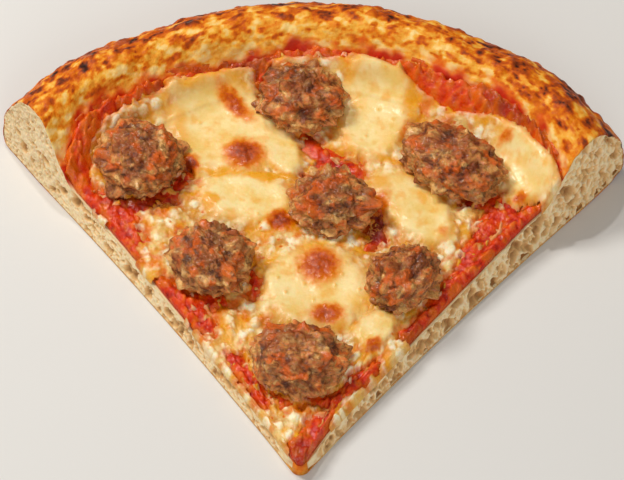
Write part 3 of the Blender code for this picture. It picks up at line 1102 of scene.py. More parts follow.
@dataclass(frozen=True)
class SauceFinish:
    """Wet tomato sauce with pulp, oil and darker spots."""

    deep: Colour = srgb(150, 14, 0)
    red: Colour = srgb(204, 40, 0)
    bright: Colour = srgb(226, 68, 4)
    pulp: Colour = srgb(236, 112, 28)
    oil: Colour = srgb(228, 118, 14)
    dark_spot: Colour = srgb(92, 14, 6)

    def build(self) -> bpy.types.Material:
        """Material that reads the pulp and oil channels and the channel of darker spots.

        Returns:
            The material.
        """
        g = Graph("tomato_sauce_wet")
        pulp = g.mottled("pulp", 1.4, 4.0, 0.6, 0.7)
        stops = ((0.0, self.deep), (0.3, self.red), (0.6, self.bright), (1.0, self.pulp))
        base = g.ramp(pulp, stops)
        oily = g.blend(g.maths("MULTIPLY", g.channel("oil"), 0.85), base, self.oil)
        # Darker red-brown spots where the dark_sauce map lies.
        baked = g.blend(g.maths("MULTIPLY", g.channel("dark_spot"), 0.7), oily, self.dark_spot)
        rough = g.remap(g.grain(1.5, 3.0), 0.42, 0.62, 0.14, 0.5)
        g.bump(g.uneven((0.9, 4.0, 0.6), (2.2, 2.0, 0.55), 1.5), 0.6, 0.5)
        return g.finish(
            baked,
            rough,
            Subsurface_Weight=0.18,
            Subsurface_Scale=0.0016,
            Specular_IOR_Level=0.32,
            Coat_Weight=0.1,
            Coat_Roughness=0.06,
        )


@dataclass(frozen=True)
class CheeseFinish:
    """Melted mozzarella: creamy pools, whiter shreds with painted shade between the curds, golden oil and
    browned blisters.
    """

    cream: Colour = srgb(250, 224, 158)
    butter: Colour = srgb(242, 202, 112)
    white: Colour = srgb(255, 242, 208)
    shade: Colour = srgb(206, 136, 38)
    oil: Colour = srgb(238, 164, 6)
    amber: Colour = srgb(230, 126, 0)
    brown: Colour = srgb(196, 80, 0)
    dark: Colour = srgb(138, 46, 4)
    blush: Colour = srgb(224, 92, 16)

    def build(self) -> bpy.types.Material:
        """Material that reads the shred, curd, oil, brown and thin channels.

        Returns:
            The material.
        """
        g = Graph("mozzarella_melted")
        cloud = g.remap(g.grain(7.0, 3.0), 0.35, 0.68, 0.0, 1.0)
        pool = g.blend(cloud, self.cream, self.butter)
        fleck = g.remap(g.grain(1.6, 3.0), 0.35, 0.6, 0.0, 1.0)
        # Painted shade: the hollows between the curds of the shreds are darkened unevenly towards the shade
        # colour.
        between = g.maths("SUBTRACT", g.channel("shred"), g.channel("curd"), clamp=True)
        uneven = g.remap(g.grain(4.5, 3.0, 0.6), 0.4, 0.6, 0.2, 0.95)
        shaded = g.blend(g.maths("MULTIPLY", between, uneven), pool, self.shade)
        white = g.maths("MULTIPLY", g.channel("curd"), g.maths("ADD", g.maths("MULTIPLY", fleck, 0.7), 0.3))
        shred = g.blend(white, shaded, self.white)
        thin = g.blend(g.maths("MULTIPLY", g.channel("thin"), 0.75), shred, self.blush)
        oily = g.blend(g.maths("MULTIPLY", g.channel("oil"), 0.92), thin, self.oil)
        mottle = g.maths("MULTIPLY", g.maths("SUBTRACT", g.grain(1.1, 4.0, 0.6), 0.5), 0.9)
        spots = g.channel("brown")
        brown = g.maths("ADD", spots, g.maths("MULTIPLY", spots, mottle), clamp=True)
        dark_spot = g.ramp(brown, ((0.0, self.oil), (0.4, self.amber), (0.72, self.brown), (1.0, self.dark)))
        final = g.blend(g.remap(brown, 0.02, 0.55, 0.0, 1.0), oily, dark_spot)
        rough = g.remap(g.grain(1.6, 3.0), 0.42, 0.62, 0.22, 0.5)
        relief = g.uneven((1.2, 4.0, 0.6), (4.0, 2.0, 0.55), 1.2)
        worked = g.maths("MAXIMUM", g.channel("shred"), g.maths("MULTIPLY", spots, 0.5))
        lively = g.maths("ADD", worked, 0.3)
        g.bump(g.maths("MULTIPLY", relief, lively), 0.5, 0.45)
        return g.finish(
            final,
            rough,
            Subsurface_Weight=0.3,
            Subsurface_Scale=0.0025,
            Specular_IOR_Level=0.32,
        )


@dataclass(frozen=True)
class SausageFinish:
    """Cooked sausage: brown and pink grains, orange fat and painted shade in its hollows."""

    # dark is the colour of the painted shade in the creases, pits and foot.
    dark: Colour = srgb(62, 22, 4)
    brown: Colour = srgb(146, 74, 22)
    tan: Colour = srgb(220, 152, 80)
    pink: Colour = srgb(210, 116, 58)
    rust: Colour = srgb(222, 94, 0)
    fat: Colour = srgb(242, 188, 112)
    grey: Colour = srgb(192, 130, 62)
    crown: Colour = srgb(134, 44, 8)

    def build(self) -> bpy.types.Material:
        """Material that reads the grain, hollow, rust and crown channels.

        Returns:
            The material.
        """
        g = Graph("sausage_cooked")
        grain = g.mottled("grain", 0.8, 4.0, 0.65, 1.0)
        stops = (
            (0.1, self.brown),
            (0.32, self.grey),
            (0.48, self.pink),
            (0.62, self.tan),
            (0.76, self.grey),
            (1.0, self.fat),
        )
        base = g.ramp(grain, stops)
        seared = g.blend(g.maths("MULTIPLY", g.channel("crown"), 0.55), base, self.crown)
        rusty = g.blend(g.maths("MULTIPLY", g.channel("rust"), 0.75), seared, self.rust)
        # Painted shade: the hollow channel and scattered pits darken the sausage towards the dark colour.
        pits = g.remap(g.grain(0.9, 3.0), 0.56, 0.72, 0.0, 0.5)
        pitted = g.maths("ADD", g.channel("hollow"), pits, clamp=True)
        hollow = g.blend(g.maths("MULTIPLY", pitted, 0.85), rusty, self.dark)
        rough = g.remap(g.grain(1.2, 3.0), 0.4, 0.6, 0.2, 0.7)
        g.bump(g.uneven((0.6, 5.0, 0.65), (1.6, 3.0, 0.55), 1.3), 0.55, 0.4)
        return g.finish(
            hollow,
            rough,
            Subsurface_Weight=0.08,
            Subsurface_Scale=0.001,
            Specular_IOR_Level=0.34,
            Coat_Weight=0.1,
            Coat_Roughness=0.1,
        )


class Slot(Enum):
    """Material slots of the record."""

    DOUGH = "baked_dough"
    SAUCE = "tomato_sauce"
    CHEESE = "melted_mozzarella"
    SAUSAGE = "cooked_sausage"


def hand_over(piece: bpy.types.Object, slot: Slot, *nodes: str) -> None:
    """Fix a piece to the model in place of its solids, and report it.

    Args:
        piece: The finished piece.
        slot: Material slot of the piece; not used.
        nodes: Names of the solids that it replaces.
    """
    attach(piece, "root")
    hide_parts(*nodes)
    LOG.info("%s: %d faces for %s", piece.name, len(piece.data.polygons), ", ".join(nodes))


@dataclass
class Dough:
    """Crust and base of the slice with its two cut faces."""

    form: SliceForm
    columns: int = 370
    hidden_rows: int = 10
    crown_rows: int = 122
    skirt_rows: int = 26
    bottom_rows: int = 14
    bulge: float = 0.8
    blister: float = 0.5
    wrinkle: float = 0.22
    rim_depths: tuple[float, ...] = (3.0, 0.4, 0.10, 0.12, 0.35, 0.85)
    rim_insets: tuple[float, ...] = (1.5, 1.3, 0.7, 0.3, 0.06, 0.0)
    rim_least: float = 0.04
    rim_start: float = 5.0
    rim_growth: float = 12.0
    skin: float = 0.55
    covered_drop: float = 0.15
    crown_end: float = 0.98
    section_size: tuple[float, float] = (31.0, 25.0)
    relief_back: float = 3.2
    broad_size: tuple[float, ...] = (13.0, 13.0, 10.0)
    medium_size: tuple[float, ...] = (5.0, 5.0, 4.5)
    wrinkle_size: float = 2.1
    blister_size: float = 4.6
    bake_shares: tuple[float, ...] = (0.0, 0.06, 0.2, 0.4, 0.6, 0.8, 1.0)
    bake_tones: tuple[float, ...] = (0.52, 0.58, 0.57, 0.5, 0.31, 0.18, 0.2)
    bake_stretch: tuple[float, ...] = (1.7, 31.0, 1.1)
    patch: Pattern = Pattern(17.0, 1, 70.0)
    streak: Pattern = Pattern(4.2, 4, 21.0)
    fleck: Pattern = Pattern(1.3, 2, 55.0)
    crisp: Pattern = Pattern(2.4, 4, 155.0)
    bare: Pattern = Pattern(3.4, 3, 140.0)
    patch_tone: float = 0.12
    streak_tone: float = 0.16
    fleck_tone: float = 0.14
    under_tone: float = 0.06
    crisp_tone: float = 0.34
    bare_tone: float = -0.32
    burn_tone: float = 0.22
    speck_tone: float = 0.28
    blister_tone: float = 0.12
    tip_tone: tuple[float, float] = (0.36, 0.24)
    tip_grain: tuple[float, ...] = (2.4, 2.4, 1.6)
    noise: Scatter = field(default_factory=lambda: Scatter(11))

    def column_angles(self, radius: float) -> Array:
        """Angles of the sweep columns, with those of the recess behind a cut at each end.

        Args:
            radius: Distance of the columns from the apex.

        Returns:
            Angles in degrees, from the left cut to the right cut.
        """
        grown = min(1.0, max(0.0, (radius - self.rim_start) / self.rim_growth))
        near = np.array(self.rim_depths) * (self.rim_least + (1.0 - self.rim_least) * grown)
        step = np.degrees(near / max(radius, 0.5))
        start = self.form.cut_left + 1.6 * step[-1]
        inner = np.linspace(start, self.form.cut_right - 1.6 * step[-1], self.columns)
        return np.concatenate([self.form.cut_left + step, inner, (self.form.cut_right - step)[::-1]])

    def section(self) -> tuple[Array, Array]:
        """Crown and skirt of the crust.

        Returns:
            Shares of the crust's width and shares of its height, from the inner slope to the underside.
        """
        curve = self.form.smooth_curve(self.form.crown)[::-1]
        curve = curve[curve[:, 0] <= self.crown_end]
        skirt = self.form.smooth_curve(self.form.skirt)
        parts = []
        for points, count, ends in ((curve, self.crown_rows, 0), (skirt, self.skirt_rows, 1)):
            step = np.hypot(*np.diff(points * self.section_size, axis=0).T)
            length = np.concatenate([[0.0], np.cumsum(step)])
            steps = np.linspace(0.0, length[-1], count + ends)[ends:]
            parts.append(np.stack([np.interp(steps, length, points[:, k]) for k in (0, 1)], -1))
        both = np.vstack(parts)
        return both[:, 0], both[:, 1]

    def shell(self) -> tuple[Array, Array, Array]:
        """Flat polar rings of the shell before its relief.

        Returns:
            Radius, angle and height, each with one row for every ring position and one column for
            every sweep column.
        """
        _, rises = self.section()
        rows = self.hidden_rows + self.crown_rows + self.skirt_rows + self.bottom_rows
        first = self.reaches(np.tile(self.column_angles(140.0), (rows, 1)))
        sweep = np.stack([self.column_angles(float(row.mean())) for row in first])
        radius = self.reaches(sweep)
        level = np.zeros_like(radius)
        turn = self.hidden_rows
        level[:turn] = self.form.dough_top(radius[:turn], sweep[:turn])
        level[turn:turn + len(rises)] = rises[:, None] * self.form.crust_height(sweep[turn:turn + len(rises)])
        return radius, sweep, level

    def reaches(self, angle: Array) -> Array:
        """Distances from the apex of all ring positions.

        Args:
            angle: Angles in degrees, one row for each ring position.

        Returns:
            Distances in the same rows.
        """
        shares, _ = self.section()
        below = np.linspace(0.0, 1.0, self.bottom_rows + 1)[1:] ** 1.5
        hidden = 1.0 - np.linspace(0.0, 1.0, self.hidden_rows, endpoint=False)
        share = np.concatenate([np.full(len(hidden), shares[0]), shares, np.full(len(below), shares[-1])])
        pull = np.concatenate([hidden, 0.0 * shares, below])
        edge = self.form.crust_radius(angle) - share[:, None] * self.form.crust_width(angle)
        return edge + pull[:, None] * (self.form.tip_radius(angle, 3.0) - edge)

    def calm(self, radius: Array, angle: Array) -> Array:
        """Angles held back from the cuts, so that the relief runs straight into the cut.

        Args:
            radius: Distances from the apex.
            angle: Angles in degrees.

        Returns:
            Angles in degrees.
        """
        back = np.degrees(self.relief_back / np.maximum(radius, 6.0))
        return np.clip(angle, self.form.cut_left + back, self.form.cut_right - back)

    def swollen(
        self,
        radius: Array,
        angle: Array,
        level: Array,
        inset: Array | float,
    ) -> tuple[Array, Array, Array]:
        """Rings with their relief, moved in by an inset.

        Args:
            radius: Distances from the apex, one row for each ring position.
            angle: Angles in degrees.
            level: Heights.
            inset: Share of the skin that every column is moved in.

        Returns:
            New radius, new height and the share covered by the toppings.
        """
        first = self.hidden_rows
        last = first + self.crown_rows + self.skirt_rows
        index = np.arange(len(radius))
        push, _ = self.relief(radius.ravel(), self.calm(radius, angle).ravel(), level.ravel())
        reach = ease(first - 2.0, first + 8.0, index) * ease(last + 1.0, last - 8.0, index)
        push = push.reshape(radius.shape) * reach[:, None]
        ahead = np.roll(radius, -1, 0) - np.roll(radius, 1, 0)
        climb = np.roll(level, -1, 0) - np.roll(level, 1, 0)
        length = np.maximum(np.hypot(ahead, climb), 1e-6)
        share = (self.form.crust_radius(angle) - radius) / self.form.crust_width(angle)
        covered = ease(-0.02, 0.05, share - self.form.sauce_share(angle)) * (index < last)[:, None]
        move = push * (1.0 - covered) - self.covered_drop * covered
        move = move - inset * self.skin * (1.0 - 0.75 * covered)
        return radius - climb / length * move, np.maximum(level + ahead / length * move, 0.0), covered

    def cut_outline(self, left: bool, inset: float) -> tuple[Array, Array, Array, Array]:
        """Upper and lower edge of the section at a cut.

        Args:
            left: Whether it is the left cut.
            inset: Share of the skin that the outline lies inside the surface.

        Returns:
            Distance and height along the upper edge, then along the lower edge, both from the tip.
        """
        radius, angle, level = self.shell()
        column = len(self.rim_depths) - 4 if left else -(len(self.rim_depths) - 3)
        pick = [column] if left else [radius.shape[1] + column]
        reach, height, _ = self.swollen(radius[:, pick], angle[:, pick], level[:, pick], inset)
        reach, height = reach[:, 0], height[:, 0]
        turn = self.hidden_rows + self.crown_rows
        upper = np.maximum.accumulate(reach[:turn])
        lower = np.maximum.accumulate(reach[turn - 1:][::-1])
        return upper, height[:turn], lower, height[turn - 1:][::-1]

    def relief(self, radius: Array, angle: Array, level: Array) -> tuple[Array, Array]:
        """Bulges, blisters and wrinkles of the baked surface.

        Args:
            radius: Distances from the apex.
            angle: Angles in degrees.
            level: Heights.

        Returns:
            Push along the surface normal and blister share of each point.
        """
        spot = np.stack([*self.form.plan(radius, angle), level], -1)
        broad = self.noise.smooth(spot / self.broad_size)
        medium = self.noise.smooth(spot / self.medium_size, shift=40.0)
        fine = self.noise.rough(spot / self.wrinkle_size, 3, shift=9.0)
        near, _, tag = self.noise.cells(spot / self.blister_size, shift=3.0)
        raised = ease(0.5, 0.12, near) * (tag > 0.45)
        push = self.bulge * (broad + 0.45 * medium) + self.blister * raised + self.wrinkle * fine
        return push, raised * (0.4 + 0.6 * tag)

    def bake(self, radius: Array, angle: Array, level: Array, raised: Array) -> Array:
        """Brownness of the surface: pale inner slope, golden crown, brown outer edge and blisters.

        Args:
            radius: Distances from the apex.
            angle: Angles in degrees.
            level: Heights.
            raised: Blister share of each point.

        Returns:
            Tone from 0, pale, to 1, charred, for each point.
        """
        outer = self.form.crust_radius(angle)
        share = (outer - radius) / self.form.crust_width(angle)
        spot = np.stack([*self.form.plan(radius, angle), level], -1)
        longer, wider, higher = self.bake_stretch
        along = np.stack([outer * np.radians(angle) / longer, share * wider, level * higher], -1)
        fleck = self.fleck.at(self.noise, along)
        near, _, tag = self.noise.cells(spot / 2.3, shift=90.0)
        speck = ease(0.32, 0.08, near) * (tag > 0.6) * ease(0.8, 0.45, share)
        big, _, big_tag = self.noise.cells(along / 6.0, shift=33.0)
        burn = ease(0.5, 0.12, big + 0.16 * fleck) * (big_tag > 0.6) * ease(0.62, 0.3, share)
        tone = np.interp(share, self.bake_shares, self.bake_tones)
        under = ease(6.0, 1.0, level) * (share < 0.3)
        crisp = ease(-0.05, 0.7, self.crisp.at(self.noise, along)) * ease(0.9, 0.5, share)
        bare = ease(0.0, 0.6, self.bare.at(self.noise, along)) * ease(0.0, 0.2, share)
        tone = tone + self.patch_tone * self.patch.at(self.noise, spot)
        tone = tone + self.streak_tone * self.streak.at(self.noise, along)
        tone = tone + self.fleck_tone * fleck + self.under_tone * under
        tone = tone + self.crisp_tone * crisp + self.bare_tone * bare
        tip = self.tip_tone[0] + self.tip_tone[1] * self.noise.rough(spot / self.tip_grain, 3, shift=17.0)
        tone = tone + (tip - tone) * ease(16.0, 9.0, radius)
        high = ease(2.0, 14.0, level)
        tone = tone + (self.burn_tone * burn + self.speck_tone * speck) * high
        tone = tone + self.blister_tone * raised * ease(0.8, 0.4, share)
        return np.clip(tone, 0.02, 0.74 + 0.22 * high)

    def build(self, material: bpy.types.Material) -> bpy.types.Object:
        """Closed shell of the crust and the base.

        Args:
            material: Finish of the crust.

        Returns:
            The piece.
        """
        radius, angle, level = self.shell()
        rows, columns = radius.shape
        flat = (radius.ravel(), angle.ravel(), level.ravel())
        _, raised = self.relief(*flat)
        last = self.hidden_rows + self.crown_rows + self.skirt_rows
        rim = np.array(self.rim_insets)
        inset = np.zeros(columns)
        inset[:len(rim)] = rim
        inset[-len(rim):] = rim[::-1]
        bulged_r, bulged_z, covered = self.swollen(radius, angle, level, inset)
        share = (self.form.crust_radius(angle) - radius) / self.form.crust_width(angle)
        limit = self.form.sauce_share(angle)
        points = self.form.place(bulged_r, angle, bulged_z).transpose(1, 0, 2).reshape(-1, 3)
        tone = self.bake(*flat, raised).reshape(radius.shape)
        patch = np.stack([angle.ravel() / 3.0, share.ravel() * 8.0, np.zeros(rows * columns)], -1)
        wander = self.noise.rough(patch, 3)
        blush = ease(-0.10, 0.03, share - limit + 0.08 * wander.reshape(radius.shape))
        side = self.form.rim(radius, angle)
        under = (np.arange(rows) >= last - 4)[:, None] * ease(1.0, 1.3, share)
        cut = np.maximum(ease(1.2, 0.5, side) * ease(0.04, 0.14, share - limit), 0.55 * under)
        cut[:, :2] = cut[:, -2:] = 1.0
        cut = cut * ease(5.0, 9.0, radius)
        blush = np.minimum(blush, 1.0 - 0.45 * ease(18.0, 8.0, radius)) * (np.arange(rows) < last)[:, None]
        channels = {"bake": tone.T, "blush": blush.T, "inner": cut.T}
        upper = list(range(last))
        lower = list(range(rows - 1, last - 2, -1))
        caps = cap_strip(0, upper, lower, bulged_r[:, 0], False)
        caps += cap_strip((columns - 1) * rows, upper, lower, bulged_r[:, -1], True)
        piece = make_piece("baked_crust", points, sweep_quads(columns, rows), channels, material, caps)
        hand_over(piece, Slot.DOUGH, "dough")
        return piece


@dataclass
class CutFace:
    """Crumb that shows on one cut side of the dough."""

    form: SliceForm
    dough: Dough
    left: bool
    steps_out: int = 560
    steps_up: int = 78
    edge_drop: float = 0.05
    slab: float = 2.7
    foam: float = 1.15
    cell: float = 3.0
    froth: float = 0.48
    wobble: float = 0.55
    wobble_size: float = 2.6
    widest_hole: float = 1.7
    holes: int = 110
    hole_mean: float = 0.34
    seed: int = 5

    def outline(self) -> tuple[Array, Array, Array]:
        """Lower and upper edge of the face.

        Returns:
            Distances from the apex, heights of the lower edge and heights of the upper edge.
        """
        upper_r, upper_z, lower_r, lower_z = self.dough.cut_outline(self.left, 0.5)
        start = max(upper_r[0], lower_r[0]) + 0.2
        outer = min(upper_r[-1], lower_r[-1]) - 0.02
        even = np.linspace(0.0, 1.0, self.steps_out)
        share = np.where(even > 0.9, 0.9 + 0.1 * np.sin((even - 0.9) / 0.1 * np.pi / 2.0), even)
        radius = start + share * (outer - start)
        top = np.interp(radius, upper_r, upper_z)
        bottom = np.minimum(np.interp(radius, lower_r, lower_z), top)
        return radius, bottom, top

    def pores(self, radius: Array, level: Array, room: Array) -> tuple[Array, Array]:
        """Depth of the pores and the painted shade in them.

        Args:
            radius: Distances from the apex.
            level: Heights.
            room: Thickness of the dough at each point.

        Returns:
            Depth in millimetres and darkness from 0 to 1 for each point.
        """
        draw = np.random.default_rng(self.seed)
        noise = Scatter(self.seed + 40)
        plane = np.stack([radius, level, np.zeros_like(radius)], -1)
        swirl = [noise.smooth(plane / self.wobble_size), noise.smooth(plane / self.wobble_size, shift=11.0)]
        wave = plane + self.wobble * np.stack([*swirl, 0.0 * level], -1)
        size = self.cell * np.clip(0.55 + room / 22.0, 0.6, 1.35)
        patch = ease(-0.45, 0.35, noise.smooth(plane / 7.0, shift=3.0))
        near, following, tag = noise.cells(wave / self.cell)
        bubble = ease(0.03, 0.42, following - near) * (0.2 + 0.8 * tag) * (0.35 + 0.65 * patch)
        near, following, tag = noise.cells(wave / (self.froth * self.cell), shift=30.0)
        small = ease(0.03, 0.4, following - near) * tag * (1.0 - 0.6 * bubble)
        depth = self.foam * size / self.cell * (1.6 * bubble + 0.5 * small)
        # Painted shade in the bubbles and the froth, following their depth.
        dark = self.foam * (0.95 * bubble + 0.45 * small)
        for _ in range(self.holes):
            at_r = draw.uniform(4.0, radius.max())
            thick = float(np.interp(at_r, radius[::self.steps_up], room[::self.steps_up]))
            at_z = draw.uniform(0.15, 0.85) * thick
            wide = min(draw.gamma(2.0, self.hole_mean) + 0.2, 0.2 * thick, self.widest_hole)
            slant = draw.uniform(-0.7, 0.7)
            long = wide * draw.uniform(1.0, 1.8)
            dr = wave[:, 0] - at_r
            dz = wave[:, 1] - at_z
            along = dr * math.cos(slant) + dz * math.sin(slant)
            across = dz * math.cos(slant) - dr * math.sin(slant)
            inside = np.hypot(along / long, across / wide)
            bowl = np.clip(1.0 - inside ** 2, 0.0, 1.0)
            depth = np.maximum(depth, 1.2 * wide * np.sqrt(bowl))
            # Painted shade in each hole, darker for wider holes.
            dark = np.maximum(dark, np.sqrt(bowl) * min(1.0, 0.45 + 0.4 * wide))
        tiny = noise.rough(plane / 0.9, 2, shift=5.0)
        return depth + 0.06 * tiny, np.clip(dark + 0.08 * tiny, 0.0, 1.0)

    def build(self, material: bpy.types.Material) -> bpy.types.Object:
        """Closed sheet of crumb just inside the cut.

        Args:
            material: Finish of the crumb.

        Returns:
            The piece.
        """
        reach, bottom, top = self.outline()
        share = np.linspace(0.0, 1.0, self.steps_up)
        radius = np.repeat(reach, self.steps_up)
        level = (bottom[:, None] + share * (top - bottom)[:, None]).ravel()
        room = np.repeat(top - bottom, self.steps_up)
        depth, dark = self.pores(radius, level, room)
        border = np.minimum(level - np.repeat(bottom, self.steps_up), np.repeat(top, self.steps_up) - level)
        border = np.minimum(border, (reach[-1] - radius) * 1.5)
        depth = depth * ease(0.1, 0.9, border) + self.edge_drop * ease(0.7, 0.0, border)
        depth = depth * ease(5.0, 12.0, radius) + 0.35 * ease(3.2, 0.3, radius - reach[0])
        depth = np.minimum(depth, 0.35 * radius)
        side = 1.0 if self.left else -1.0
        cut = self.form.cut_left if self.left else self.form.cut_right
        near_cut = np.degrees((0.04 + depth) / np.maximum(radius, 1.0))
        front = self.form.place(radius, cut + side * near_cut, level)
        deep = np.degrees(np.minimum(self.slab, 0.22 * reach) / np.maximum(reach, 1.0))
        thick = top - bottom
        edges = (bottom + 0.15 * thick, top - np.minimum(0.3 * thick, 2.5))
        behind = np.minimum(reach, reach[-1] - 2.0)
        back = [self.form.place(behind, cut + side * deep, edge) for edge in edges]
        quads = sheet_quads(self.steps_out, self.steps_up)
        grid = np.arange(len(radius)).reshape(self.steps_out, self.steps_up)
        low = len(radius) + np.arange(self.steps_out)
        high = low + self.steps_out
        strips = [quads[:, ::-1]]
        for first, second in ((low, grid[:, 0]), (high, low), (grid[:, -1], high)):
            strips.append(np.stack([first[:-1], first[1:], second[1:], second[:-1]], -1))
        faces = np.vstack(strips)
        ends = [[*grid[0, ::-1], low[0], high[0]], [*grid[-1], high[-1], low[-1]]]
        if not self.left:
            faces = faces[:, ::-1]
            ends = [end[::-1] for end in ends]
        ends = [tuple(int(v) for v in end) for end in ends]
        outer_skin = ease(1.1, 0.1, reach[-1] - radius)
        low_skin = ease(0.75, 0.1, level - np.repeat(bottom, self.steps_up))
        skin = np.maximum(np.maximum(outer_skin, low_skin * 0.75), 0.45 * ease(0.5, 0.05, border))
        blotch = Scatter(self.seed + 60).rough(np.stack([radius / 3.5, level / 2.2, 0.0 * level], -1), 3)
        skin = np.maximum(skin, 0.55 * ease(0.15, 0.9, blotch) * ease(20.0, 6.0, room))
        skin = np.maximum(skin, (0.45 + 0.25 * blotch) * ease(15.0, 4.0, radius))
        dark = dark * ease(4.0, 12.0, radius)
        hidden = np.zeros(2 * self.steps_out)
        # The pore channel carries the painted shade of the pores; the hidden back sheets take a middle value.
        channels = {"pore": np.concatenate([dark, hidden + 0.5]), "skin": np.concatenate([skin, hidden])}
        name = "crumb_left" if self.left else "crumb_right"
        piece = make_piece(name, np.vstack([front, *back]), faces, channels, material, ends)
        hand_over(piece, Slot.DOUGH, "dough")
        return piece


@dataclass
class Sauce:
    """Layer of tomato sauce on the base and up the foot of the crust."""

    form: SliceForm
    topping: ToppingMap
    columns: int = 300
    rows: int = 280
    under_rows: int = 28
    gap: float = 0.3
    depth: float = 1.0
    lump: float = 0.9
    heap: float = 0.8
    bend: float = 1.3
    bend_size: float = 3.2
    pulp_size: float = 2.7
    ripple_size: float = 2.2
    broad_size: float = 8.0
    mound_size: float = 1.5
    bank: tuple[float, float] = (13.0, 5.0)
    edge_back: tuple[float, float] = (0.15, 1.6)
    edge_drop: float = 0.9
    below: float = 0.6
    tip_rounding: float = 3.6
    overlap: float = 1.8
    noise: Scatter = field(default_factory=lambda: Scatter(23))

    def surface(self, radius: Array, angle: Array) -> tuple[Array, Array]:
        """Height of the sauce and the share of pulp in it, raised near its edge up the crust partly as a
        painted highlight.

        Args:
            radius: Distances from the apex.
            angle: Angles in degrees.

        Returns:
            Height in millimetres and pulp from 0 to 1 for each point.
        """
        x, y = self.form.plan(radius, angle)
        flat = np.stack([x, y, self.form.dough_top(radius, angle)], -1)
        bent = flat + self.bend * self.noise.smooth(flat / self.bend_size)[:, None]
        near, _, tag = self.noise.cells(bent / self.pulp_size)
        knob = np.clip(1.0 - (near / 0.62) ** 2, 0.0, 1.0)
        chunky = ease(0.35, 0.8, tag)
        ripple = self.noise.rough(flat / self.ripple_size, 3, shift=60.0)
        broad = self.noise.smooth(flat / self.broad_size)
        mound = self.noise.mounds(bent / self.mound_size, shift=90.0) - MOUND_MEAN
        lumps = self.lump * (knob * (0.1 + 0.8 * chunky) + 0.55 * mound + 0.35 * ripple + 0.35 * broad)
        edge = self.form.sauce_reach(angle) - radius
        lumps = lumps * (1.0 + 0.7 * ease(*self.bank, edge))
        lumps = lumps + self.heap * ease(0.8, -1.8, self.topping.cheese_reach(x, y))
        wander = 0.9 * self.noise.rough(flat / 4.5, 3, shift=13.0)
        film = ease(-0.4, 1.6, edge + wander)
        bare = self.form.dough_top(radius, angle)
        height = bare * (1.0 - film) + self.form.eased_top(radius, angle, 4.0) * film
        height = height + self.gap * film - 0.5 * (1.0 - film)
        height = height + (self.depth + lumps) * film * self.form.steepness(radius, angle)
        pulp = 0.38 + 0.45 * knob * chunky + 0.35 * ripple + 0.25 * mound + 0.15 * broad
        # Near the sauce's edge up the crust slope the pulp share is raised: partly paler pulp, partly a
        # painted highlight on the slope.
        return height, np.clip(pulp + 0.16 * ease(14.0, 6.0, edge), 0.0, 1.0)

    def fan(self, radius: Array) -> Array:
        """Angles of the columns, ending unevenly a little inside the cuts.

        Args:
            radius: Distances from the apex, one row for each ring position.

        Returns:
            Angles in degrees in the same rows.
        """
        reach = np.stack([radius[:, 0] / 4.0, radius[:, 0] * 0.0, radius[:, 0] * 0.0], -1)
        turns = []
        for shift in (0.0, 50.0):
            back = np.clip(0.75 + 0.5 * self.noise.rough(reach + shift, 2), *self.edge_back)
            back = back * np.clip(radius[:, 0] / 9.0, 0.05, 1.0)
            turns.append(np.degrees(back / np.maximum(radius[:, 0], 1.0))[:, None])
        share = np.linspace(0.0, 1.0, self.columns)
        left = self.form.cut_left + turns[0]
        return left + share * (self.form.cut_right - turns[1] - left)

    def build(self, material: bpy.types.Material) -> bpy.types.Object:
        """Closed layer of sauce.

        Args:
            material: Finish of the sauce.

        Returns:
            The piece.
        """
        angles = np.linspace(self.form.cut_left, self.form.cut_right, self.columns)
        start = self.form.tip_radius(angles, self.tip_rounding)
        finish = self.form.sauce_reach(angles) + self.overlap
        share = np.linspace(0.0, 1.0, self.rows)[:, None]
        radius = start + share * (finish - start)
        angle = self.fan(radius)
        level, pulp = self.surface(radius.ravel(), angle.ravel())
        level = level.reshape(radius.shape)
        side = radius * np.radians(np.minimum(angle - angle[:, :1], angle[:, -1:] - angle))
        level = level - self.edge_drop * ease(1.3, 0.0, np.minimum(radius - start, side))
        below = 1.0 - np.linspace(0.0, 1.0, self.under_rows)[:, None] ** 2
        under_r = start + below * (finish - start)
        under_a = self.fan(under_r)
        under_z = self.form.dough_top(under_r.ravel(), under_a.ravel()).reshape(under_r.shape) - self.below
        ring_r = np.vstack([radius, under_r])
        ring_a = np.vstack([angle, under_a])
        ring_z = np.vstack([level, under_z])
        x, y = self.form.plan(ring_r.ravel(), ring_a.ravel())
        flat = np.stack([x, y, 0.0 * x], -1)
        wx, wy = self.topping.warp(x, y, self.noise, 0.8, 3.0)
        inside = self.topping.cheese_reach(wx, wy)
        oil = ease(-1.0, 0.2, inside) * 0.6
        edge = (self.form.sauce_reach(ring_a) - ring_r).ravel()
        fringe = 2.2 * self.noise.rough(flat / 2.4, 3, shift=5.0)
        oil = np.maximum(oil, ease(2.2, -0.8, edge + fringe) * 0.5)
        golden = self.noise.rough(flat / 3.6, 3, shift=35.0)
        golden = golden + 0.4 * ease(6.0, 1.0, self.form.rim(ring_r, ring_a).ravel())
        golden = golden + 0.5 * ease(12.0, 3.0, edge)
        oil = np.maximum(oil, 0.7 * ease(0.3, 0.8, golden))
        dark_spot = blob_field(wx, wy, self.topping.dark_sauce, 0.5)
        pulp_all = np.concatenate([pulp, np.full(under_r.size, 0.3)])
        shape = ring_r.shape
        channels = {
            "pulp": pulp_all.reshape(shape).T,
            "oil": oil.reshape(shape).T,
            "dark_spot": dark_spot.reshape(shape).T,
        }
        rows = shape[0]
        points = self.form.place(ring_r, ring_a, ring_z).transpose(1, 0, 2).reshape(-1, 3)
        upper = list(range(self.rows))
        lower = list(range(rows - 1, self.rows - 1, -1))
        caps = cap_strip(0, upper, lower, ring_r[:, 0], False)
        caps += cap_strip((self.columns - 1) * rows, upper, lower, ring_r[:, -1], True)
        piece = make_piece("sauce_layer", points, sweep_quads(self.columns, rows), channels, material, caps)
        hand_over(piece, Slot.SAUCE, "tomato_sauce")
        return piece


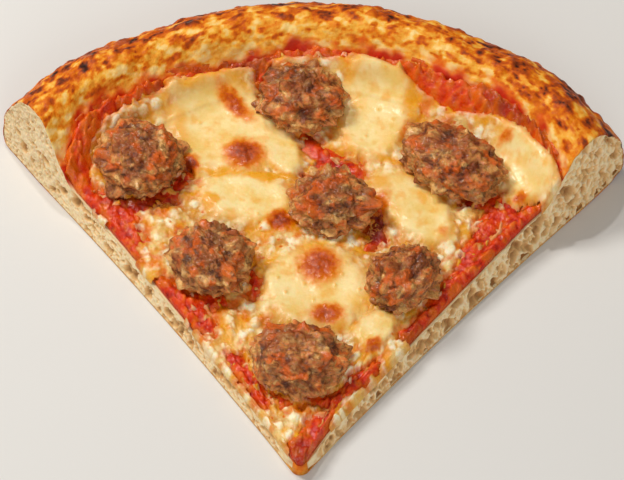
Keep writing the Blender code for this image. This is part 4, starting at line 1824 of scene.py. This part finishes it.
@dataclass
class Cheese:
    """Melted cheese over the sauce, pooled in places and in shreds between."""

    form: SliceForm
    topping: ToppingMap
    sauce: Sauce
    columns: int = 322
    rows: int = 308
    pool_depth: float = 2.1
    shred_depth: float = 1.7
    shred_bump: float = 1.0
    blister_rise: float = 0.6
    bubble_rise: float = 0.25
    seam_rise: float = 0.12
    ragged: float = 2.0
    thin_at_cut: float = 0.42
    thin_width: float = 6.5
    tip_rounding: float = 4.6
    overlap: float = 1.2
    rest: float = 0.25
    shoulder_drop: float = 0.4
    torn: Pattern = Pattern(2.8, 3, 7.0)
    curd_bend: Pattern = Pattern(3.4)
    shred_wave: Pattern = Pattern(6.0)
    pool_wave: Pattern = Pattern(8.0, 1, 50.0)
    blister: Pattern = Pattern(2.4, 2, 240.0)
    toast: Pattern = Pattern(4.2, 1, 120.0)
    seam_oil: Pattern = Pattern(7.0, 1, 15.0)
    golden: Pattern = Pattern(4.0, 3, 260.0)
    hollow_oil: Pattern = Pattern(4.2, 1, 3.0)
    see_through: Pattern = Pattern(3.8, 1, 66.0)
    hang_out: tuple[float, ...] = (0.16, 0.26, 0.2)
    hang_share: tuple[float, ...] = (0.22, 0.62, 1.0)
    drip: tuple[float, ...] = (0.0, 0.2, 0.6)
    noise: Scatter = field(default_factory=lambda: Scatter(37))
    nodes: tuple[str, ...] = (
        "mozzarella_back_left",
        "mozzarella_back_right",
        "mozzarella_right",
        "mozzarella_middle_right",
        "mozzarella_middle",
        "mozzarella_left",
        "mozzarella_front",
        "mozzarella_front_right",
        "mozzarella_front_left",
        "mozzarella_tip",
    )

    def fields(self, radius: Array, angle: Array) -> tuple[Array, dict[str, Array]]:
        """Depth of the cheese over the sauce and the channels of its material.

        Args:
            radius: Distances from the apex.
            angle: Angles in degrees.

        Returns:
            Depth in millimetres, negative in the open sauce, and the named channels.
        """
        x, y = self.form.plan(radius, angle)
        flat = np.stack([x, y, self.form.dough_top(radius, angle)], -1)
        steep = ease(13.0, 5.0, self.form.sauce_reach(angle) - radius)
        wx, wy = self.topping.warp(x, y, self.noise, 1.5, 5.0)
        wx, wy = wx + (x - wx) * 0.8 * steep, wy + (y - wy) * 0.8 * steep
        rim = self.form.rim(radius, angle)
        by_cut = ease(4.5, 1.0, rim)
        ragged = self.ragged * self.torn.at(self.noise, flat)
        ragged = ragged * (1.0 - 0.85 * steep) * (1.0 - 0.5 * by_cut)
        sx, sy = self.topping.warp(x, y, self.noise, 0.9, 6.0)
        pool = self.topping.pool_share(sx, sy)
        inside = self.topping.cheese_reach(wx, wy) + ragged * (1.0 - 0.75 * pool)
        stray = flat / 3.6 + 0.5 * self.noise.smooth(flat / 2.0)[:, None]
        isle, _, isle_tag = self.noise.cells(stray, shift=300.0)
        island = 4.6 * (0.44 - isle) * (isle_tag > 0.55) - 8.0 * steep - 5.0 * by_cut
        inside = np.maximum(inside, island)
        seam = self.topping.pool_seam(sx, sy)
        bent = flat + self.curd_bend.at(self.noise, flat)[:, None]
        near, _, tag = self.noise.cells(bent / 2.9)
        knob = np.clip(1.0 - (near / 0.7) ** 2, 0.0, 1.0) * (0.3 + 0.7 * tag)
        tiny, _, tiny_tag = self.noise.cells(bent / 1.4, shift=80.0)
        fine = np.clip(1.0 - (tiny / 0.66) ** 2, 0.0, 1.0) * tiny_tag
        body = 1.0 - np.exp(-np.maximum(inside, 0.0) / 1.1)
        shreds = self.shred_depth * (0.55 + 0.3 * self.shred_wave.at(self.noise, flat))
        shreds = shreds + self.shred_bump * (0.65 * knob + 0.35 * fine)
        pooled = self.pool_depth + 0.3 * self.pool_wave.at(self.noise, flat)
        depth = (pool * pooled + (1.0 - pool) * shreds) * body
        depth = depth + self.seam_rise * seam * body
        full = self.thin_at_cut + (1.0 - self.thin_at_cut) * ease(0.0, self.thin_width, rim)
        depth = np.where(depth > 0.0, depth * full, depth)
        depth = np.where(inside > 0.0, depth, np.maximum(0.9 * inside, -0.9))
        brown_x, brown_y = self.topping.warp(x, y, self.noise, 0.7, 2.4)
        brown = blob_field(brown_x, brown_y, self.topping.browned, 0.8)
        crater = blob_field(x, y, self.topping.browned, 0.75)
        halo = blob_field(brown_x, brown_y, self.topping.browned, 0.98)
        bumpy = self.blister_rise + 0.25 * self.blister.at(self.noise, flat)
        depth = depth + bumpy * crater * ease(-0.5, 1.0, inside)
        toast = ease(0.2, 0.8, self.toast.at(self.noise, flat)) * (1.0 - pool) * 0.8
        hollow = np.clip(1.0 - 1.3 * knob - 0.5 * fine, 0.0, 1.0) * (1.0 - pool)
        oil = 1.4 * blob_field(wx, wy, self.topping.oily, 0.5)
        oil = np.maximum(oil, 0.75 * seam * ease(-0.6, 0.4, self.seam_oil.at(self.noise, flat)))
        oil = np.maximum(oil, 0.6 * pool * ease(0.1, 0.9, self.golden.at(self.noise, flat)))
        drop, _, drop_tag = self.noise.cells(flat / 2.4, shift=280.0)
        bubble = ease(0.3, 0.12, drop) * (drop_tag > 0.8) * pool
        depth = depth + self.bubble_rise * bubble
        oil = np.maximum(oil, 0.7 * bubble)
        oil = np.maximum(oil, 0.8 * halo)
        oil = np.maximum(oil, hollow * ease(-0.2, 0.5, self.hollow_oil.at(self.noise, flat)))
        thin = ease(2.4, 0.0, inside) * (1.0 - 0.4 * pool)
        thin = np.maximum(thin, 1.1 * hollow * ease(0.0, 0.45, self.see_through.at(self.noise, flat)))
        curd = ease(0.25, 0.75, knob + 0.4 * fine) * (1.0 - pool)
        dot, _, dot_tag = self.noise.cells(flat / 3.3, shift=210.0)
        speck = ease(0.26, 0.08, dot) * (dot_tag > 0.5) * (1.0 - 0.8 * pool) * ease(0.0, 1.0, inside)
        channels = {
            "shred": 1.0 - pool,
            "curd": curd,
            "oil": np.clip(oil, 0.0, 1.0),
            "brown": np.clip(np.maximum(brown, np.maximum(toast * 0.55, 0.6 * speck)), 0.0, 1.0),
            "thin": np.clip(thin, 0.0, 1.0),
        }
        return depth, channels

    def build(self, material: bpy.types.Material) -> bpy.types.Object:
        """Sheet of cheese whose edges sink into the sauce.

        Args:
            material: Finish of the cheese.

        Returns:
            The piece.
        """
        angles = np.linspace(self.form.cut_left, self.form.cut_right, self.columns)
        start = self.form.tip_radius(angles, self.tip_rounding)
        finish = self.form.sauce_reach(angles) + self.overlap
        share = np.linspace(0.0, 1.0, self.rows)[:, None]
        flat = start + share * (finish - start)
        over = len(self.hang_out)
        wide = np.pad(flat, ((0, 0), (over, over)), mode="edge")
        turn = np.broadcast_to(np.pad(angles, over, mode="edge"), wide.shape).copy()
        lowered = np.zeros_like(wide)
        dripped = np.zeros_like(wide)
        for column in (0, -1):
            row = np.stack([wide[:, column] / 5.0, np.full(self.rows, 9.0 * column), np.zeros(self.rows)], -1)
            drape = np.clip(0.4 + 1.1 * self.noise.rough(row, 2), 0.0, 1.8)
            for k, out in enumerate(self.hang_out):
                side = over - 1 - k if column == 0 else over + self.columns + k
                beyond = np.degrees(out / np.maximum(wide[:, side], 2.0))
                turn[:, side] += beyond if column else -beyond
                lowered[:, side] = self.hang_share[k]
                dripped[:, side] = self.drip[k] * drape
        radius, angle = wide.ravel(), turn.ravel()
        inner = np.clip(angle, self.form.cut_left, self.form.cut_right)
        depth, channels = self.fields(radius, inner)
        base, _ = self.sauce.surface(radius, inner)
        climb = self.form.steepness(radius, inner)
        smooth_base = self.form.eased_top(radius, inner) + self.sauce.gap
        smooth_base = smooth_base + (self.sauce.depth + self.rest) * climb
        covered = np.maximum(smooth_base + depth * climb, base + 0.55 * depth)
        level = np.where(depth > 0.0, covered, np.minimum(base, smooth_base) + depth - 0.1)
        flow = ease(0.1, 1.2, depth) * ease(4.0, 10.0, self.form.sauce_reach(inner) - radius)
        side = self.form.rim(radius, inner)
        level = level - self.shoulder_drop * ease(0.9, 0.0, side)
        foot = self.form.dough_top(radius, inner) - self.rest
        level = level + (np.minimum(foot, level) - level) * lowered.ravel() - dripped.ravel() * flow
        channels["oil"] = np.maximum(channels["oil"], 0.55 * lowered.ravel())
        points = self.form.place(radius, angle, level)
        quads = sheet_quads(self.rows, self.columns + 2 * over)
        held = np.where((side < 1.8) & (depth < 0.12), -1.0, depth)
        keep = (held[quads] > -0.55).all(axis=1)
        quads = quads[keep][:, ::-1]
        used, order = np.unique(quads, return_inverse=True)
        channels = {name: values[used] for name, values in channels.items()}
        piece = make_piece("melted_cheese", points[used], order.reshape(quads.shape), channels, material)
        hand_over(piece, Slot.CHEESE, *self.nodes)
        return piece


@dataclass
class SausageChunks:
    """Craggy lumps of sausage bedded in the toppings."""

    form: SliceForm
    sides: int = 204
    rings: int = 102
    lowest: float = 118.0
    lobe: float = 1.1
    clod: float = 2.7
    lump: float = 1.5
    nub: float = 0.55
    crumble: float = 0.3
    lobe_size: float = 8.0
    clod_size: float = 4.8
    lump_size: float = 2.3
    nub_size: float = 1.25
    crumble_size: float = 0.9
    bend_size: float = 2.8
    seat_rise: float = 1.3
    seat_share: float = 0.36
    upper_share: float = 0.66
    lower_share: float = 0.42
    noise: Scatter = field(default_factory=lambda: Scatter(53))
    chunks: tuple[Chunk, ...] = (
        Chunk("chunk_left", "sausage_left", Blob(-45.6, 95.0, 12.4, 12.8), 11.8),
        Chunk("chunk_back", "sausage_back", Blob(0.2, 118.5, 12.8, 11.4, -25.0), 11.2),
        Chunk("chunk_right", "sausage_right", Blob(42.8, 94.2, 17.0, 12.2, -40.0), 11.8, 0.14),
        Chunk("chunk_middle", "sausage_middle", Blob(8.8, 82.2, 11.2, 10.4, -30.0), 10.4),
        Chunk("chunk_front_left", "sausage_front_left", Blob(-25.0, 62.0, 12.0, 12.0, 10.0), 11.2),
        Chunk("chunk_front_right", "sausage_front_right", Blob(29.0, 55.2, 11.2, 11.2), 11.0),
        Chunk("chunk_tip", "sausage_tip", Blob(-0.6, 31.0, 12.8, 11.0, -10.0), 10.5),
    )

    def shape(self, chunk: Chunk) -> tuple[Array, dict[str, Array]]:
        """Points of one chunk with the channels of its material.

        Args:
            chunk: Place and size of the chunk.

        Returns:
            Points in metres and the named channels.
        """
        spot = chunk.spot
        tilt = np.radians(np.linspace(0.0, self.lowest, self.rings + 1))
        way = np.linspace(0.0, 2.0 * np.pi, self.sides, endpoint=False)
        tilt_all = np.concatenate([[0.0], np.repeat(tilt[1:], self.sides)])
        way_all = np.concatenate([[0.0], np.tile(way, self.rings)])
        unit = np.stack(
            [np.sin(tilt_all) * np.cos(way_all), np.sin(tilt_all) * np.sin(way_all), np.cos(tilt_all)], -1
        )
        size = 0.5 * (spot.along + spot.across)
        seat = np.array([spot.x, spot.y, 0.0])
        solid = unit * np.array([spot.along, spot.across, chunk.height]) + seat
        swirl = [self.noise.smooth(solid / self.bend_size + 9.0 * k) for k in (1.0, 2.0, 3.0)]
        bent = solid + 0.8 * np.stack(swirl, -1)
        _, _, tag = self.noise.cells(bent / self.lump_size)
        _, _, tiny_tag = self.noise.cells(bent / self.nub_size, shift=44.0)
        clod = self.noise.mounds(bent / self.clod_size, shift=20.0)
        knob = self.noise.mounds(bent / self.lump_size)
        nub = self.noise.mounds(bent / self.nub_size, shift=44.0)
        push = self.lobe * self.noise.smooth(solid / self.lobe_size) + self.clod * (clod - 0.3)
        push = push + self.lump * (knob - MOUND_MEAN) + self.nub * (nub - MOUND_MEAN)
        push = push + self.crumble * self.noise.rough(solid / self.crumble_size, 2, shift=61.0)
        waist = 1.0 - chunk.waist * np.sin(way_all) ** 4
        grow = (1.0 + push / size) * waist
        along = spot.along * grow * unit[:, 0]
        across = spot.across * grow * unit[:, 1]
        turn = math.radians(spot.turn)
        x = spot.x + along * math.cos(turn) - across * math.sin(turn)
        y = spot.y + along * math.sin(turn) + across * math.cos(turn)
        radius, angle = np.hypot(x, y), np.degrees(np.arctan2(x, y))
        angle = np.clip(angle, self.form.cut_left, self.form.cut_right)
        here = np.array([math.hypot(spot.x, spot.y)]), np.array([math.degrees(math.atan2(spot.x, spot.y))])
        floor = self.form.dough_top(*here)[0] + self.seat_rise
        half = chunk.height * np.where(unit[:, 2] > 0.0, self.upper_share, self.lower_share)
        level = floor + self.seat_share * chunk.height + half * (1.0 + push / size) * unit[:, 2]
        ground = self.form.dough_top(radius, angle) + 0.5
        level = np.maximum(level, ground)
        # Painted shade: darker in the creases between the lumps, in scattered pits and at the foot where the
        # chunk meets the toppings, all carried by the hollow channel.
        pit = ease(0.3, 0.8, self.noise.rough(solid / 2.6, 3, shift=170.0))
        crease = 0.35 * ease(0.14, 0.0, knob) + 0.25 * ease(0.12, 0.0, nub) + 0.45 * ease(0.2, 0.02, clod)
        crease = crease + 0.6 * pit
        foot = ease(3.4, 0.4, level - ground)
        hollow = np.clip(crease + 0.5 * foot, 0.0, 1.0)
        patch = self.noise.smooth(solid / 4.0, shift=77.0) + 0.35 * self.noise.rough(solid / 1.4, 2)
        rust = ease(0.1, 0.55, patch + 0.3 - 0.9 * np.abs(unit[:, 2] - 0.6))
        crown = ease(0.45, 0.85, unit[:, 2] + 0.8 * self.noise.rough(solid / 4.5, 3, shift=200.0) - 0.12)
        blend = self.noise.smooth(solid / 3.4, shift=130.0)
        grain = np.clip(0.5 + 0.3 * (tag - 0.5) + 0.4 * (tiny_tag - 0.5) + 0.75 * blend, 0.0, 1.0)
        channels = {"grain": grain, "hollow": hollow, "rust": rust * (1.0 - 0.5 * hollow), "crown": crown}
        return self.form.place(radius, angle, level), channels

    def build(self, material: bpy.types.Material) -> None:
        """All the chunks, each closed by a flat foot.

        Args:
            material: Finish of the sausage.
        """
        for chunk in self.chunks:
            points, channels = self.shape(chunk)
            ring = np.arange(self.sides)
            after = (ring + 1) % self.sides
            starts = 1 + self.sides * np.arange(self.rings - 1)[:, None]
            quads = np.stack(
                [starts + ring, starts + self.sides + ring, starts + self.sides + after, starts + after], -1
            ).reshape(-1, 4)
            last = 1 + self.sides * (self.rings - 1)
            extra = [(0, 1 + int(k), 1 + int(n)) for k, n in zip(ring, after)]
            extra.append(tuple(int(v) for v in (last + ring)[::-1]))
            piece = make_piece(chunk.name, points, quads, channels, material, extra)
            hand_over(piece, Slot.SAUSAGE, chunk.node)


@dataclass
class Studio:
    """Pale floor, soft lights and the camera."""

    elevation: float = 52.0
    distance: float = 0.62
    lens: float = 128.8
    floor_size: float = 3.0
    floor_colour: Colour = srgb(226, 224, 220)

    def floor(self) -> None:
        """Pale floor under the slice."""
        g = Graph("studio_floor")
        tone = g.ramp(g.grain(60.0, 2.0), ((0.0, srgb(224, 222, 218)), (1.0, self.floor_colour)))
        material = g.finish(tone, 0.85, Specular_IOR_Level=0.2)
        half = 0.5 * self.floor_size
        corners = np.array([[-half, -half, 0.0], [half, -half, 0.0], [half, half, 0.0], [-half, half, 0.0]])
        corners[:, 2] = -0.0001
        plane = make_piece("studio_floor", corners, np.array([[0, 1, 2, 3]]), {}, material)

    @staticmethod
    def aim(thing: bpy.types.Object, spot: tuple[float, float, float]) -> None:
        """Turn a light or camera towards a spot.

        Args:
            thing: Light or camera.
            spot: Place that it looks at, in metres.
        """
        away = Vector(spot) - thing.location
        thing.rotation_euler = away.to_track_quat("-Z", "Y").to_euler()

    def light(
        self,
        name: str,
        place: tuple[float, float, float],
        size: float,
        power: float,
        warm: float,
    ) -> None:
        """Soft square light aimed at the slice.

        Args:
            name: Name of the light.
            place: Where it stands, in metres.
            size: Length of its side in metres.
            power: Power in watts.
            warm: Warmth from 0, white, to 1.
        """
        lamp = bpy.data.lights.new(name, "AREA")
        lamp.size = size
        lamp.energy = power
        lamp.color = (1.0, 1.0 - 0.08 * warm, 1.0 - 0.2 * warm)
        thing = bpy.data.objects.new(name, lamp)
        thing.location = place
        bpy.context.scene.collection.objects.link(thing)
        self.aim(thing, (0.0, 0.0, 0.01))

    def build(self) -> None:
        """Floor, lights, sky and camera."""
        self.floor()
        self.light("key_light", (-0.44, 0.28, 0.7), 0.22, 4.2, 0.35)
        self.light("front_fill", (0.15, -0.8, 0.5), 0.5, 2.7, 0.15)
        self.light("glint_light", (-0.12, 0.3, 0.7), 0.025, 1.1, 0.2)
        self.light("side_fill", (-0.6, -0.35, 0.4), 0.4, 0.5, 0.2)
        scene = bpy.context.scene
        world = bpy.data.worlds.new("soft_sky")
        world.use_nodes = True
        sky = world.node_tree.nodes["Background"]
        sky.inputs["Color"].default_value = (1.0, 0.97, 0.93, 1.0)
        sky.inputs["Strength"].default_value = 0.22
        scene.world = world
        scene.view_settings.view_transform = "Standard"
        scene.view_settings.look = "None"
        tilt = math.radians(self.elevation)
        camera_data = bpy.data.cameras.new("camera")
        camera_data.lens = self.lens
        camera_data.sensor_width = 36.0
        camera_data.clip_start = 0.01
        camera = bpy.data.objects.new("camera", camera_data)
        camera.location = (0.0, -self.distance * math.cos(tilt), self.distance * math.sin(tilt))
        scene.collection.objects.link(camera)
        self.aim(camera, (0.0, 0.0, 0.0))
        scene.camera = camera


def main() -> None:
    """Build the studio and every piece in order."""
    logging.basicConfig(level=logging.INFO, format="%(message)s")
    form = SliceForm()
    topping = ToppingMap(form)
    Studio().build()
    dough = Dough(form)
    dough.build(CrustFinish().build())
    crumb = CrumbFinish().build()
    CutFace(form, dough, left=True, foam=0.65, cell=1.8, holes=120, hole_mean=0.3).build(crumb)
    CutFace(form, dough, left=False, seed=8).build(crumb)
    sauce = Sauce(form, topping)
    sauce.build(SauceFinish().build())
    Cheese(form, topping, sauce).build(CheeseFinish().build())
    SausageChunks(form).build(SausageFinish().build())


if __name__ == "__main__":
    main()
